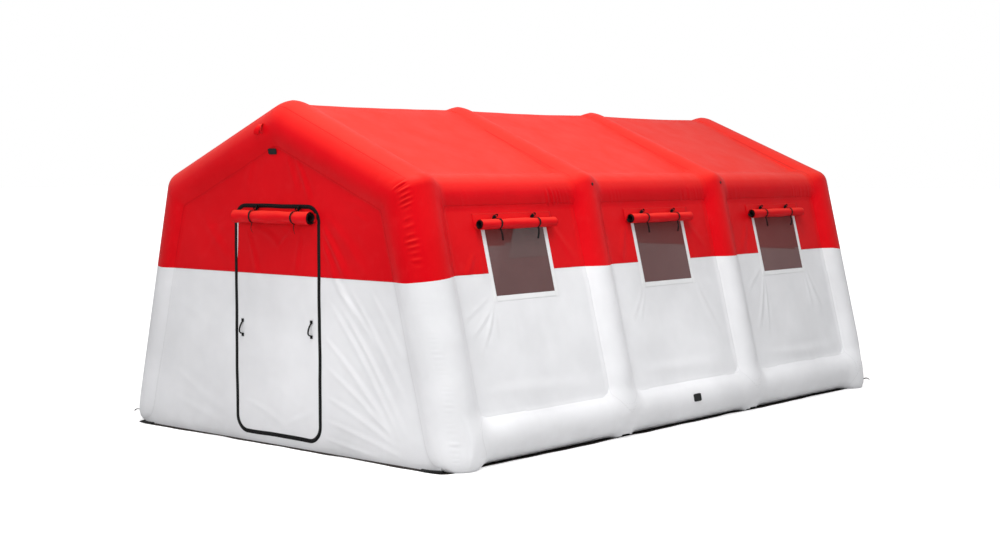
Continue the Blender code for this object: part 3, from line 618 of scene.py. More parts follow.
def lay(P, own, tubes=(), rooms=(), sink=0.0):
    """Skin of one piece.  tubes trim it and blend with it; rooms only blend where it is outside.

    Returns points, outward directions, the distance outside the tubes, by which cells are kept, and
    the distance from the nearest joint."""
    depth = np.minimum.reduce([np.full(P.shape[:2], 1.0)] + [other(P) for other, soft in tubes])
    inner, normal = settle(P, own, tubes)
    joint = depth.copy()
    if rooms:
        behind = np.minimum.reduce([np.full(P.shape[:2], 1.0)] + [room(P) for room, soft in rooms])
        full, turned = settle(P, own, [*tubes, *rooms])
        share = ease(behind, -0.03, 0.0)[..., None]
        inner = inner + (full - inner) * share
        normal = normal + (turned - normal) * share
        joint = np.minimum(joint, np.maximum(behind, -0.05) + 0.004)
    if sink:
        inner = inner - normal * (sink * (depth < 0))[..., None]
    return inner, normal, depth, joint


def cells(depth, wrap=False):
    """Cells of which a corner lies outside the neighbours."""
    d = np.concatenate([depth, depth[:, :1]], 1) if wrap else depth
    return np.maximum.reduce([d[:-1, :-1], d[1:, :-1], d[:-1, 1:], d[1:, 1:]]) > 0


def maps(s, w, joint, wrap=False):
    """Cloth map and joint map of a grid from its row and column positions."""
    S, W = grid_of(s, w)
    if wrap:
        joint = np.concatenate([joint, joint[:, :1]], 1)
    return np.stack([W, S], -1), np.stack([joint, S], -1)


def stitched_line(joint, x, reach=0.03, beside=0.0065):
    """Adds a line of stitches, where x is 0, to the distances from the nearest joint."""
    return np.where(np.abs(x) < reach, np.abs(x) + beside, joint)


def arches_of(bay, soft):
    return [(arch_field(k), soft) for k in (bay - 1, bay)]


# ---------------------------------------------------------------- air tubes
def round_about(steps):
    return 2 * pi * np.arange(steps) / steps


def wrapped(a):
    return ((a + pi) % (2 * pi) - pi)[None, :]


def tube_skin(piece, Q, mat, s, a, radius, depth, joint, flip=False):
    """Adds a closed tube's skin: rows at s along it, columns at the angles a round it."""
    uv, jm = maps(s, np.append(a, 2 * pi) * radius, joint, True)
    return piece.grid(Q, mat, uv, jm, cells(depth, True), True, flip=flip)


def arc(corner, d0, d1, radius, steps):
    """Points that round one corner of a line in the XZ plane."""
    c, d0, d1 = Vector(corner), Vector(d0).normalized(), Vector(d1).normalized()
    bend = d0.angle(d1)
    inward = (d1 - d0 * d0.dot(d1)).normalized()
    centre = c - d0 * radius * tan(bend / 2) + inward * radius
    turns = [bend * k / steps for k in range(steps + 1)]
    return [centre + (-inward * cos(t) + d0 * sin(t)) * radius for t in turns]


def half_arch(turns, leg_steps, bend_steps, roof_steps, crest_steps):
    """Rows x turns x (x, z) of one half of an arch's upper part, from the seam to the crest."""
    tracks = []
    mitre = 1 + OUT_X * ROOF_NX + OUT_Z * ROOF_NZ
    foot_r = FOOT_R + (ARCH_R - FOOT_R) * SEAM_Z / EAVE_Z
    foot_x = FOOT_X + (EAVE_X - FOOT_X) * SEAM_Z / EAVE_Z
    for a in turns:
        u = ARCH_R * cos(a)
        share = (u + ARCH_R) / (2 * ARCH_R)
        foot = Vector((foot_x + foot_r * cos(a) / LEG_Z, SEAM_Z))
        knee = Vector((EAVE_X + u * (OUT_X + ROOF_NX) / mitre,
                       EAVE_Z + u * (OUT_Z + ROOF_NZ) / mitre))
        top = Vector((0.0, RIDGE_Z + u / ROOF_NZ))
        up, over = knee - foot, top - knee
        bend = arc(knee, up, over, SHOULDER_IN + (SHOULDER_OUT - SHOULDER_IN) * share, bend_steps)
        crest = arc(top, over, (over.x, -over.y), CREST_IN + (CREST_OUT - CREST_IN) * share,
                    2 * crest_steps)[:crest_steps + 1]
        line = [foot + (bend[0] - foot) * (k / leg_steps) for k in range(leg_steps)] + bend[:-1]
        line += [bend[-1] + (crest[0] - bend[-1]) * (k / roof_steps) for k in range(roof_steps)]
        tracks.append([(p.x, p.y) for p in line + crest])
    return np.array(tracks).transpose(1, 0, 2)


def puckers(s, a, at, spread, pitch, size, seed):
    """Short wrinkles across a seam line: s along the tube, a round it, at and spread in radians."""
    phase = 2 * pi * (s / pitch + 0.45 * np.sin(s * 7.3 + seed) + 0.22 * np.sin(s * 19 + 2 * seed))
    pick = 0.50 + 0.50 * np.sin(s * 31.0 + 3 * seed) * np.sin(s * 13.7 + seed)
    lean = 0.5 * np.sin(s * 11.0 + seed)
    reach = np.exp(-((a - at - 0.06 * lean) / (spread * (0.75 + 0.45 * pick))) ** 4)
    wave = np.sin(phase + 2.2 * (a - at) * lean)
    return size * pick * reach * (wave - 0.35 * np.cos(2 * phase) + 0.12 * np.sin(3 * phase))


def rooms_of(k):
    """Rooms beside arch k, each with its softness."""
    found = []
    if k > 0:
        found.append((room_field(k, (None, Y_ARCH[k])), SOFT))
    if k < 3:
        found.append((room_field(k + 1, (Y_ARCH[k], None)), SOFT))
    if k in (0, 3):
        found.append((porch_field(-1 if k == 0 else 1), CRISP))
    return found


def past_end(k, p):
    """Metres beyond the plane of end arch k, away from the tent."""
    return (Y_ARCH[0] - p[..., 1]) if k == 0 else (p[..., 1] - Y_ARCH[3])


def trimmed(k, *fields):
    """Tubes that meet arch k, which stop at the plane of an end arch."""
    if k not in (0, 3):
        return fields
    return [lambda p: np.maximum(np.minimum.reduce([f(p) for f in fields]), past_end(k, p))]


def drop_seam(Q, k, side):
    """Tilts the colour seam of an end arch so it meets the lower seam of its gable."""
    if k not in (0, 3):
        return Q
    turn = np.degrees(np.arctan2(past_end(k, Q), offset(Q)))
    drop = (SEAM_Z - GABLE_SEAM_Z) * np.clip((turn + 20) / 105, 0, 1)
    drop = drop * np.exp(-((Q[..., 2] - SEAM_Z) / 0.12) ** 2)
    Q[..., 2] -= drop
    Q[..., 0] -= side * drop * LEG_X / LEG_Z
    return Q


for k, label in enumerate(ARCH_NAMES):
    sides = 80 if k == 0 else 60
    a = round_about(sides)
    near = half_arch(a, 76, 26, 64, 10) if k == 0 else half_arch(a, 26, 12, 46, 7)
    far = half_arch(a, 26, 12, 46, 7 if k else 10)[-2::-1]
    xz = np.concatenate([near, far * (-1, 1)])
    P = stacked(xz[..., 0], Y_ARCH[k] + girth(xz[..., 1], k) * np.sin(a), xz[..., 1])
    Q, N, depth, joint = lay(P, arch_field(k), [
        (f, KNEE) for f in trimmed(k, eaves_field(1), eaves_field(-1))], rooms_of(k))
    s = lengths(P[:, sides // 4])
    if k == 0:                          # wrinkles beside the seam of the near shoulder
        strength = np.interp(P[..., 2], [1.50, 1.62, 1.85, 2.12, 2.30, 2.40],
                             [0.25, 0.55, 0.85, 1.0, 0.9, 0.0])
        lines = puckers(s[:, None], wrapped(a), radians(-56), radians(10), 0.044, 0.0078, 1.0)
        Q = Q + N * (lines * strength * (P[..., 0] > 0))[..., None]
    Q[[0, -1], :, 2] = P[[0, -1], :, 2]
    Q = drop_seam(Q, k, np.sign(Q[..., 0]))
    obj = tube_skin(Piece("skin_arch_" + label), Q, RED_TUBE, s, a, ARCH_R, depth, joint).make(
        "arch_" + label, "red_coated_cloth")


def base_tube(piece, side, steps):
    """The tube along the ground."""
    a = round_about(steps)
    y = graded(Y_ARCH[0], Y_ARCH[3], 0.03, 0.03 if side > 0 else 0.06, 0.5)
    P = stacked(side * (BASE_X + BASE_R * np.cos(a)), y[:, None], BASE_Z + BASE_R * np.sin(a))
    rooms = [(room_field(bay, (Y_ARCH[bay - 1], Y_ARCH[bay])), TO_BASE) for bay in BAYS]
    Q, N, depth, joint = lay(P, base_field(side), [(arch_field(k), FOOT) for k in range(4)], rooms)
    Q[..., 2] = np.maximum(Q[..., 2], GROUND_Z)
    tube_skin(piece, Q, WHITE_TUBE, y, a, BASE_R, depth, joint, side > 0)


def leg(piece, side, k, steps, rows):
    """One leg of an arch, from the ground or the ground tube to the colour seam."""
    a = round_about(steps)
    low, end = GROUND_Z, k in (0, 3)
    z = np.concatenate([[low, low], np.linspace(low, SEAM_Z, rows)]) if end else \
        np.linspace(0.16, SEAM_Z, rows)
    r = girth(z, k)
    if end:                             # the first two rows close the foot
        r[0], r[1] = 0.01, r[1] * 0.6
    axis = FOOT_X + (EAVE_X - FOOT_X) * z / EAVE_Z
    P = stacked(side * (axis[:, None] + r[:, None] * np.cos(a) / LEG_Z),
                Y_ARCH[k] + r[:, None] * np.sin(a), z[:, None])
    Q, N, depth, joint = lay(P, arch_field(k), [(f, FOOT) for f in trimmed(k, base_field(side))],
                             rooms_of(k))
    if side > 0 and k == 0:             # wrinkles down the leg that shows best
        along = z[:, None]
        at = np.radians(np.interp(along, [0, 0.3, 0.8, 1.5], [-52, -44, -42, -56]))
        strength = np.interp(along, [0.05, 0.20, 0.45, 0.60, 1.05, 1.25, 1.53],
                             [0.5, 0.75, 0.5, 0.30, 0.38, 0.15, 0.15])
        lines = puckers(along + 5, wrapped(a), at, radians(10), 0.040, 0.0034, 2.0)
        Q = Q + N * (lines * strength)[..., None]
    if end:
        Q[:3] = P[:3]
    Q[-1, :, 2] = SEAM_Z
    Q = drop_seam(Q, k, side)
    Q[..., 2] = np.maximum(Q[..., 2], low)
    tube_skin(piece, Q, WHITE_TUBE, z, a, FOOT_R, depth, joint, side < 0)


for side, side_name in SIDES:
    piece = Piece("skin_lower_frame_" + side_name)
    base_tube(piece, side, 64 if side > 0 else 44)
    for k in range(4):
        fine = side > 0 and k == 0
        leg(piece, side, k, 80 if k == 0 else 60, 150 if fine else (60 if side > 0 else 36))
    obj = piece.make("lower_frame_" + side_name, "white_coated_cloth")

    a = round_about(64 if side > 0 else 40)
    for bay in BAYS:
        y = graded(Y_ARCH[bay - 1], Y_ARCH[bay], 0.012 if side > 0 else 0.03,
                   0.03 if side > 0 else 0.07, 0.62)
        P = stacked(side * (EAVE_X + EAVES_R * np.cos(a)), y[:, None],
                    EAVE_Z + EAVES_R * np.sin(a))
        Q, N, depth, joint = lay(P, eaves_field(side), arches_of(bay, KNEE),
                                 [(room_field(bay), TO_EAVES)], sink=0.0012)
        if side > 0:                    # wrinkles near both arches
            turn, along = wrapped(a), y[:, None]
            for gap, share in ((Y_ARCH[bay] - 0.46, 1.0 if bay == 1 else 0.4),
                               (Y_ARCH[bay - 1] + 0.40, 0.15)):
                spot = np.exp(-((along - gap) / 0.17) ** 2)
                lines = puckers(along + 0.35 * turn * EAVES_R, turn, radians(-14), radians(28),
                                0.068, 0.0085, 3.0 + bay)
                Q = Q + N * (lines * spot * share)[..., None]
        obj = tube_skin(Piece("skin_eaves_%s_%d" % (side_name, bay)), Q, RED, y, a, EAVES_R, depth,
                        joint, side > 0).make("eaves_tube_%s_%d" % (side_name, bay),
                                              "red_coated_cloth")


# ---------------------------------------------------------------- roof sheets
for bay in BAYS:
    half, side_x = ARCH_PITCH / 2 - 0.06, EAVE_X + 0.03
    a = graded(-half, half, 0.014, 0.032, 0.24)
    x = merged(graded(-side_x, 0, FINE, 0.034, 0.20), graded(0, side_x, FINE, 0.034, 0.20))
    A, X = grid_of(a, x)
    P = np.stack([X, A + MIDDLES[bay - 1], roof_height(bay, A, X) + SHEET / 2], -1)
    tubes = arches_of(bay, SOFT) + [(eaves_field(side), TO_EAVES) for side in (1, -1)]
    Q, N, depth, joint = lay(P, roof_field(bay), tubes, sink=SEWN)
    uv, jm = maps(a, x, joint)
    obj = Piece("cloth_roof_%d" % bay).grid(Q, RED, uv, jm, cells(depth), flip=True).make(
        "roof_sheet_%d" % bay, "red_coated_cloth")


# ---------------------------------------------------------------- long walls and windows
def wall_point(side, middle, a, z, out):
    """Points at (along the bay, height), out metres outside the wall's outer face."""
    s = (z - OUT_Z * WALL_OUT) / LEG_Z
    o = WALL_OUT + SHEET / 2 + out
    return stacked(side * (FOOT_X + LEG_X * s + OUT_X * o), middle + a, LEG_Z * s + OUT_Z * o)


def strip(piece, side, middle, base, a0, a1, z0, z1, mat, upright, lift=BIND_T):
    """A flat band with rounded edges, from base to base + lift off a long wall."""
    rise = base + np.array([-0.001, 0.55, 0.92, 1.0, 1.0, 1.0, 0.92, 0.55, -0.001]) * lift
    (start, stop), width = ((z0, z1), a1 - a0) if upright else ((a0, a1), z1 - z0)
    inset = np.array([0, 0.0006, 0.0022, 0.004])
    across = np.concatenate([inset, [width / 2], width - inset[::-1]])
    S, W = grid_of(np.linspace(start, stop, max(2, ceil((stop - start) / 0.02) + 1)), across)
    P = wall_point(side, middle, *((a0 + W, S) if upright else (S, z0 + W)), rise)
    piece.grid(P, mat, np.stack([W, S], -1), np.stack([np.minimum(W, width - W) + 0.0016, S], -1),
               flip=upright == (side < 0))


def wall(side, side_name, bay, z_lines, part, mat, slot, flat, binding=False):
    """One wall sheet with the window cut out of it, and the binding that frames the window."""
    middle, tag = MIDDLES[bay - 1], "%s_%d" % (side_name, bay)
    half, edge, cell = WIN_W / 2, WIN_W / 2 + BIND_W, CELL[side]
    end = ARCH_PITCH / 2 - 0.10
    a = even(cell, 0.1, -end, -half, half, end)
    A, Z = grid_of(a, z_lines)
    P = wall_point(side, middle, A, Z, wall_height(side, bay, A, Z))
    tubes = arches_of(bay, SOFT) + [(eaves_field(side), TO_EAVES), (base_field(side), TO_BASE)]
    Q, N, depth, joint = lay(P, wall_field(side, bay), tubes, sink=SEWN)
    Q[..., 2] = np.where(np.abs(Z - SEAM_Z) < 1e-6, SEAM_Z, Q[..., 2])
    MA, MZ = grid_of((a[1:] + a[:-1]) / 2, (z_lines[1:] + z_lines[:-1]) / 2)
    hole = (np.abs(MA) < half) & (MZ > WIN_Z0) & (MZ < WIN_Z1)
    frame_line = np.maximum(np.abs(A) - edge - 0.045, np.abs(Z - 1.62) - 0.365)
    uv, jm = maps(a, z_lines, stitched_line(joint, frame_line))
    piece = Piece("cloth_wall_%s_%s" % (part, tag)).grid(Q, mat, uv, jm, cells(depth) & ~hole,
                                                         flip=side < 0)
    if binding:
        low, top = WIN_Z0 - BIND_W, WIN_Z1 + 0.006
        for a0, a1, z1, upright in ((-edge, -half, top, True), (half, edge, top, True),
                                    (-half, half, WIN_Z0, False)):
            strip(piece, side, middle, 0.0, a0, a1, low, z1, BINDING, upright)
    obj = piece.make("wall_%s_%s" % (part, tag), slot)


for side, side_name in SIDES:
    for bay in BAYS:
        cell, tag = CELL[side], "%s_%d" % (side_name, bay)
        wall(side, side_name, bay, merged(graded(SEAM_Z, WIN_Z1, cell, cell, 0.1),
                                          graded(WIN_Z1, WALL_Z1, cell, cell, 0.05)),
             "upper", RED, "red_coated_cloth", (1.9, 0.62, 0.72))
        wall(side, side_name, bay, even(cell, 0.1, WALL_Z0, WIN_Z0, SEAM_Z),
             "lower", WHITE, "white_coated_cloth", (1.75, 1.2, 1.90), True)

        A, Z = grid_of(np.linspace(-WIN_W / 2 - 0.004, WIN_W / 2 + 0.004, 24),
                       np.linspace(WIN_Z0 - 0.004, WIN_Z1 + 0.004, 20))
        sag = -0.0035 * np.cos(pi * A / WIN_W) * np.sin(pi * (Z - WIN_Z0) / (WIN_Z1 - WIN_Z0))
        P = wall_point(side, MIDDLES[bay - 1], A, Z, sag - SHEET / 2 - 0.001)
        obj = Piece("net_window_" + tag).grid(P, NET, np.stack([A, Z], -1), flip=side < 0).make(
            "window_mesh_" + tag, "window_net")


# ---------------------------------------------------------------- gables and door
def door_shape(x, z):
    """Metres outside the zip line's centre."""
    qx = np.abs(x - DOOR_X) - (DOOR_W / 2 - DOOR_CORNER)
    qz = np.abs(z - (DOOR_Z0 + DOOR_Z1) / 2) - ((DOOR_Z1 - DOOR_Z0) / 2 - DOOR_CORNER)
    return np.hypot(np.maximum(qx, 0), np.maximum(qz, 0)) + \
        np.minimum(np.maximum(qx, qz), 0) - DOOR_CORNER


def gable(node, facing, z_lines, x_lines):
    """A gable sheet outside the zip line, or a panel of the door inside it."""
    door_panel, upper = node.startswith("door"), node.endswith("upper")
    X, Z = grid_of(x_lines, z_lines)
    y0 = FRONT_Y if facing < 0 else REAR_Y
    P = np.stack([X, y0 + facing * (SHEET / 2 + gable_height(facing, X, Z)), Z], -1)
    Q, N, depth, joint = lay(P, gable_field(facing), [(arch_field(0 if facing < 0 else 3), CRISP)])
    Q[..., 2] = np.where(np.abs(Z - GABLE_SEAM_Z) < 1e-6, GABLE_SEAM_Z, Q[..., 2])
    Q[..., 2] = np.maximum(Q[..., 2], FLOOR)
    keep = cells(np.where(offset(P) > 0, -1, depth))
    if facing < 0:
        door = door_shape(X, Z)
        keep &= cells(-door if door_panel else door)
        joint = np.where(door_panel, 1.0, joint)
        top = np.maximum(np.abs(X - DOOR_X) - DOOR_W / 2 - 0.085, np.abs(Z - 1.10) - 1.07)
        joint = stitched_line(joint, top)
    uv, jm = maps(x_lines, z_lines, joint)
    mat, slot = (RED_GABLE, "red_coated_cloth") if upper else (WHITE_GABLE, "white_coated_cloth")
    obj = Piece("cloth_" + node.replace("panel_", "")).grid(Q, mat, uv, jm, keep, flip=facing > 0) \
        .make(node, slot)


door_left, door_right = DOOR_X - DOOR_W / 2, DOOR_X + DOOR_W / 2
xs = merged(graded(-GABLE_WIDE, door_left, 0.022, 0.022, 0.2),
            even(FINE, 0.2, door_left, door_right, GABLE_WIDE))
zl = merged(graded(FLOOR, DOOR_Z0, FINE, FINE, 0.02),
            graded(DOOR_Z0, GABLE_SEAM_Z, 0.018, 0.018, 0.2))
zu = even(FINE, 0.2, GABLE_SEAM_Z, DOOR_Z1, GABLE_TOP)
inner_x = xs[(xs >= door_left - 0.001) & (xs <= door_right + 0.001)]
gable("gable_front_upper", -1, zu, xs)
gable("gable_front_lower", -1, zl, xs)
gable("door_panel_upper", -1, zu[zu <= DOOR_Z1 + 0.001], inner_x)
gable("door_panel_lower", -1, zl[zl >= DOOR_Z0 - 0.001], inner_x)
xr = graded(-GABLE_WIDE, GABLE_WIDE, 0.025, 0.045, 0.3)
for part, z0, z1, flat in (("upper", GABLE_SEAM_Z, GABLE_TOP, (3.0, 1.2, 2.35)),
                           ("lower", FLOOR, GABLE_SEAM_Z, (3.7, 1.5, 4.7))):
    gable("gable_rear_" + part, 1, graded(z0, z1, 0.025, 0.04, 0.2), xr)


def rounded_box(cx, cy, half_x, half_y, radius, steps):
    """A closed loop of points round a box with round corners, and the way out at each."""
    t = np.array([pi / 2 * (quarter + k / steps) for quarter in range(4) for k in range(steps + 1)])
    outs = np.stack([np.cos(t), np.sin(t)], -1)
    corners = np.repeat([(1, 1), (-1, 1), (-1, -1), (1, -1)], steps + 1, axis=0)
    pts = (cx, cy) + corners * (half_x - radius, half_y - radius) + radius * outs
    return np.concatenate([pts, pts[:1]]), np.concatenate([outs, outs[:1]])


def spaced(at, s, values):
    return np.stack([np.interp(at, s, values[:, i]) for i in (0, 1)], -1)


def zip_loop(step):
    """Points along the zip line, the way out of it, running length and how high the cloth lifts."""
    pts, outs = rounded_box(DOOR_X, (DOOR_Z0 + DOOR_Z1) / 2, DOOR_W / 2, (DOOR_Z1 - DOOR_Z0) / 2,
                            DOOR_CORNER, 16)
    s = lengths(pts)
    at = np.linspace(0, s[-1], int(s[-1] / step) + 1)[:-1]
    wander = 0.0022 * np.sin(at * 3.1) + 0.0016 * np.sin(at * 7.9 + 1)
    wander = wander + 0.0008 * np.sin(at * 17 + 2)
    outs, lift = spaced(at, s, outs), 0.0008 * (1 + np.sin(at * 5.3) ** 2)
    return spaced(at, s, pts) + outs * wander[:, None], outs, at, lift


def on_face(xz, out):
    """Points of the gable's plane, out metres in front of its face."""
    return stacked(xz[..., 0], FACE_Y - out, xz[..., 1])


BAND_STEP, TOOTH_STEP, TOOTH, LOW = 0.0105, 0.0075, 0.0019, 0.0004
pts, outs, at, lift = zip_loop(BAND_STEP)
profile = ((-0.0180, -0.0006), (-0.0178, 0.0012), (-0.0165, 0.0018), (-0.0060, 0.0018),
           (-0.0045, 0.0030), (0.0045, 0.0030), (0.0060, 0.0018), (0.0165, 0.0018),
           (0.0178, 0.0012), (0.0180, -0.0006))     # across the band, and out of the gable
P = np.array([on_face(pts + outs * across, LOW + max(up, 0) + lift * (up > 0))
              for across, up in profile])
W, S = grid_of(lengths(np.array(profile)), np.append(at, at[-1] + BAND_STEP))
obj = Piece("zip_band").grid(P, WEBBING, np.stack([W, S], -1), None, None, True).make(
    "door_zip_band", "black_webbing", sharp=0.9)

pts, outs, at, lift = zip_loop(TOOTH_STEP)
along = np.stack([-outs[:, 1], outs[:, 0]], -1)
block = np.array([pts + outs * 0.0034 * sx + along * (sz * TOOTH + 0.0007 * sx)
                  for sx, sz in ((-1, -1), (1, -1), (1, 1), (-1, 1))])
middle = block.mean(0)
low, top = (on_face(middle + (block - middle) * share, LOW + out + lift)
            for share, out in ((1.0, 0.0030), (0.85, 0.0046)))
piece = Piece("zip_teeth")
for k in range(len(at)):
    piece.grid(np.stack([low[:, k], top[:, k]]), TEETH, wrap=True)
    piece.grid(top[[0, 1, 3, 2], k].reshape(2, 2, 3), TEETH)
piece.make(slot="black_webbing", sharp=0.6)


# ---------------------------------------------------------------- webbing
def ribbon(piece, points, across, width, thick, mat=None, ends=True):
    """Webbing with rounded edges along points; its width runs along the vector across."""
    pts = np.array([tuple(q) for q in points], float)
    run = lengths(pts)
    ahead = np.gradient(pts, axis=0)
    across = np.broadcast_to(np.array(across, float), pts.shape)
    side = across - ahead * ((across * ahead).sum(1) / (ahead ** 2).sum(1))[:, None]
    side /= np.linalg.norm(side, axis=1)[:, None]
    face = np.cross(ahead, side)
    face /= np.linalg.norm(face, axis=1)[:, None]
    w, t = width / 2, thick / 2
    shape = ((-w, -t * 0.4), (-w + t, -t), (0, -t), (w - t, -t), (w, -t * 0.4), (w, t * 0.4),
             (w - t, t), (0, t), (-w + t, t), (-w, t * 0.4))
    P = np.stack([pts + side * u + face * v for u, v in shape], 1)
    if ends:
        caps = [P[k:k + 1].mean(1, keepdims=True).repeat(P.shape[1], 1) for k in (0, len(P) - 1)]
        P = np.concatenate([caps[0], P, caps[1]])
        run = np.concatenate([run[:1], run, run[-1:]])
    S, W = grid_of(run, lengths(np.array(shape + shape[:1])))
    piece.grid(P, mat or WEBBING, np.stack([W, S], -1), None, None, True)


def smooth_path(points, steps):
    """Catmull-Rom curve through a few points."""
    p = vectors(*points)
    p = [2 * p[0] - p[1]] + p + [2 * p[-1] - p[-2]]
    out = []
    for a, b, c, d in zip(p, p[1:], p[2:], p[3:]):
        for t in np.arange(steps) / steps:
            out.append(0.5 * (2 * b + (c - a) * t + (2 * a - 5 * b + 4 * c - d) * t * t
                              + (3 * b - a - 3 * c + d) * t ** 3))
    return out + [p[-2]]


BULGES = np.array((1.0, 0.98, 0.93, 1.01, 1.01, 0.93, 0.98, 1.0))


def bulge(t):
    """Share of a roll's radius at -0.5..0.5 of its length, drawn in under its ties."""
    k = np.clip((t + 0.5) * (len(BULGES) - 1), 0, len(BULGES) - 1.001)
    i = k.astype(int)
    return BULGES[i] + (BULGES[i + 1] - BULGES[i]) * ease(k - i, 0, 1)


def rolled(piece, centre, along, out, up, length, radius, tie_at, seed, turns, hem, inner,
           wall=0.0):
    """A flap rolled up into a spiral round the line centre + t along, with its upper hem flat on
    the sheet behind.  The ties pinch it and gather small folds beside them."""
    centre, along, out, up = vectors(centre, along, out, up)
    y = graded(-length / 2, length / 2, 0.010, 0.020, 0.06)
    n_turn = int(turns * 26)
    Y, T = grid_of(y, np.linspace(0, 1, n_turn))
    angle = pi + 2 * pi * turns * T
    pinch, beside = (sum(np.exp(-((Y - t) / w) ** 2) for t in tie_at) for w in (0.013, 0.055))
    lumps = 0.035 * np.sin(Y * 21 + seed + 1.3 * np.sin(angle)) * np.sin(Y * 8.1 + 2 * seed) \
        + 0.020 * np.sin(3 * angle + Y * 14 + seed)
    creases = beside * 0.030 * np.sin(7 * angle + 9 * Y + seed)
    r = radius * (1 - (1 - inner) * T) * (bulge(Y / length) + lumps + creases - 0.075 * pinch)
    r = r * (1 + 0.02 * np.sin(5.0 * Y + seed))
    slip = 0.006 * np.sin(2 * pi * T * turns / 2 + seed) * (2 * Y / length)
    P = centre + (Y + slip)[..., None] * along + (r * np.cos(angle))[..., None] * out \
        + (r * np.sin(angle))[..., None] * up
    rise = np.linspace(hem, 0.004, 6)[:-1]
    H = np.stack([centre + y[:, None] * along + up * h + out * (wall - radius) for h in rise], 1)
    P = np.concatenate([H, P], 1)
    S, W = grid_of(y - y[0], lengths(P[len(y) // 2]))
    uv, jm = np.stack([W, S], -1), np.stack([np.minimum(S, length - S) + 0.002, W], -1)
    cut = len(rise) + int(0.36 * n_turn)            # past here: dark inner turns, painted shade
    piece.grid(P[:, :cut + 1], FLAP, uv[:, :cut + 1], jm[:, :cut + 1])
    piece.grid(P[:, cut:], ROLL_INNER_SHADE, uv[:, cut:], jm[:, cut:])


def thicken(obj, thick):
    mod = obj.modifiers.new("cloth", 'SOLIDIFY')
    mod.thickness, mod.offset, mod.use_even_offset = thick, 0.0, True


def tie(name, node, centre, along, out, up, radius, drift, seed, wall, tail=TIE_TAIL):
    """A strap round a roll, knotted above it, with a hanging tail and two short bows."""
    centre, along, out, up = vectors(centre, along, out, up)
    r = radius + 0.0022
    piece = Piece(name)
    loop = [centre + out * (-radius + wall + 0.002) + up * (r + 0.030)]
    loop += [centre + (out * cos(t) + up * sin(t)) * r + along * 0.003 * sin(2 * t + seed)
             for t in [radians(128 - 13 * k) for k in range(17)]]
    ribbon(piece, smooth_path(loop, 3), along, TIE_W * 1.05, TIE_T)
    bottom = loop[-1]
    path = [bottom + out * 0.004]
    path += [bottom - (0, 0, tail * t) + out * (0.012 * sin(pi * t) + 0.010 * t)
             + along * (drift * t * t + 0.004 * sin(5 * t + seed)) for t in np.arange(1, 6) / 5]
    turned = [along * cos(0.1 * k + 0.2) + out * sin(0.1 * k + 0.2) for k in range(6)]
    ribbon(piece, path, turned, TIE_W * 0.9, TIE_T)
    knot = centre + out * (-radius + wall + 0.008) + up * (r + 0.022)
    for turn in (-1, 1):
        ear = [knot + along * turn * (0.017 * (1 - cos(t)))
               + up * (0.014 * sin(t) + 0.006 * turn * (1 - cos(t))) + out * (0.010 * sin(t / 2))
               for t in np.linspace(0, 2 * pi, 13)]
        ribbon(piece, ear, out + up * 0.4, TIE_W * 0.75, TIE_T * 1.4, ends=False)
    lump = [knot + up * 0.014 * cos(t) + out * (0.005 + 0.009 * sin(t)) for t in
            np.linspace(0, pi, 7)]
    ribbon(piece, lump, along, 0.019, 0.006)
    return piece.make(node, "black_webbing")


ROLL_BASE, ROLL_GAP = BIND_T + 0.0003, 0.0008      # flaps lie on the binding, rolls just off it
for side, side_name in SIDES:
    out, up, along = vectors((side * OUT_X, 0, OUT_Z), (side * LEG_X, 0, LEG_Z), (0, 1, 0))
    for bay in BAYS:
        middle, tag = MIDDLES[bay - 1], "%s_%d" % (side_name, bay)
        centre = wall_point(side, middle, 0.0, ROLL_Z, ROLL_BASE + SHEET + ROLL_R - 0.0025)
        piece = Piece("cloth_flap_" + tag)
        strip(piece, side, middle, ROLL_BASE, -FLAP_W / 2, FLAP_W / 2, FLAP_Z0, FLAP_Z1, FLAP,
              False, SHEET - 0.0004)
        rolled(piece, centre, along, out, up, ROLL_L, ROLL_R, (-TIE_AT, TIE_AT), bay * 1.7, 2.7,
               0.062, 0.45, ROLL_GAP)
        obj = piece.make("window_flap_" + tag, "red_coated_cloth")
        thicken(obj, 0.0012)
        for end, label in ((-1, "front"), (1, "back")):
            tie("strap_%s_%s" % (tag, label), "tie_%s_%s" % (tag, label) if side > 0 else (),
                centre + along * end * TIE_AT, along, out, up, ROLL_R * 0.90,
                0.030 if end < 0 else -0.012, bay + end, ROLL_GAP)

# ---------------------------------------------------------------- door roll, handles, patches
out, up, along = vectors((0, -1, 0), (0, 0, 1), (1, 0, 0))
middle, length = (DOOR_ROLL_X0 + DOOR_ROLL_X1) / 2, DOOR_ROLL_X1 - DOOR_ROLL_X0
centre = np.array((middle, FACE_Y - ZIP_T - 0.0006 - DOOR_ROLL_R * 1.01, DOOR_ROLL_Z))
piece = Piece("cloth_door_roll")
rolled(piece, centre, along, out, up, length, DOOR_ROLL_R, [x - middle for x in DOOR_TIE_X], 4.1,
       3.2, 0.035, 0.50)
obj = piece.make("door_roll", "red_coated_cloth")
thicken(obj, 0.0014)

# the white facing that shows beside the zip, under the rolled cover
z = np.linspace(1.62, 1.95, 12)
left = door_left + 0.015
edges = np.array([left + 0 * z, left + 0.004 + 0.020 * ((z - z[0]) / (z[-1] - z[0])) ** 0.8])
piece = Piece("door_facing").grid(stacked(edges, FACE_Y - 0.0016, z), WHITE, stacked(edges, z))
thicken(piece.make(slot="white_coated_cloth"), 0.0012)
for x, label, drift, seed in zip(DOOR_TIE_X, ("left", "right"), (0.015, 0.02), (2.0, 5.0)):
    tie("strap_door_" + label, "door_tie_" + label, (x, *centre[1:]), along, out, up,
        DOOR_ROLL_R * 0.905, drift, seed, 0.0, DOOR_TIE_TAIL)

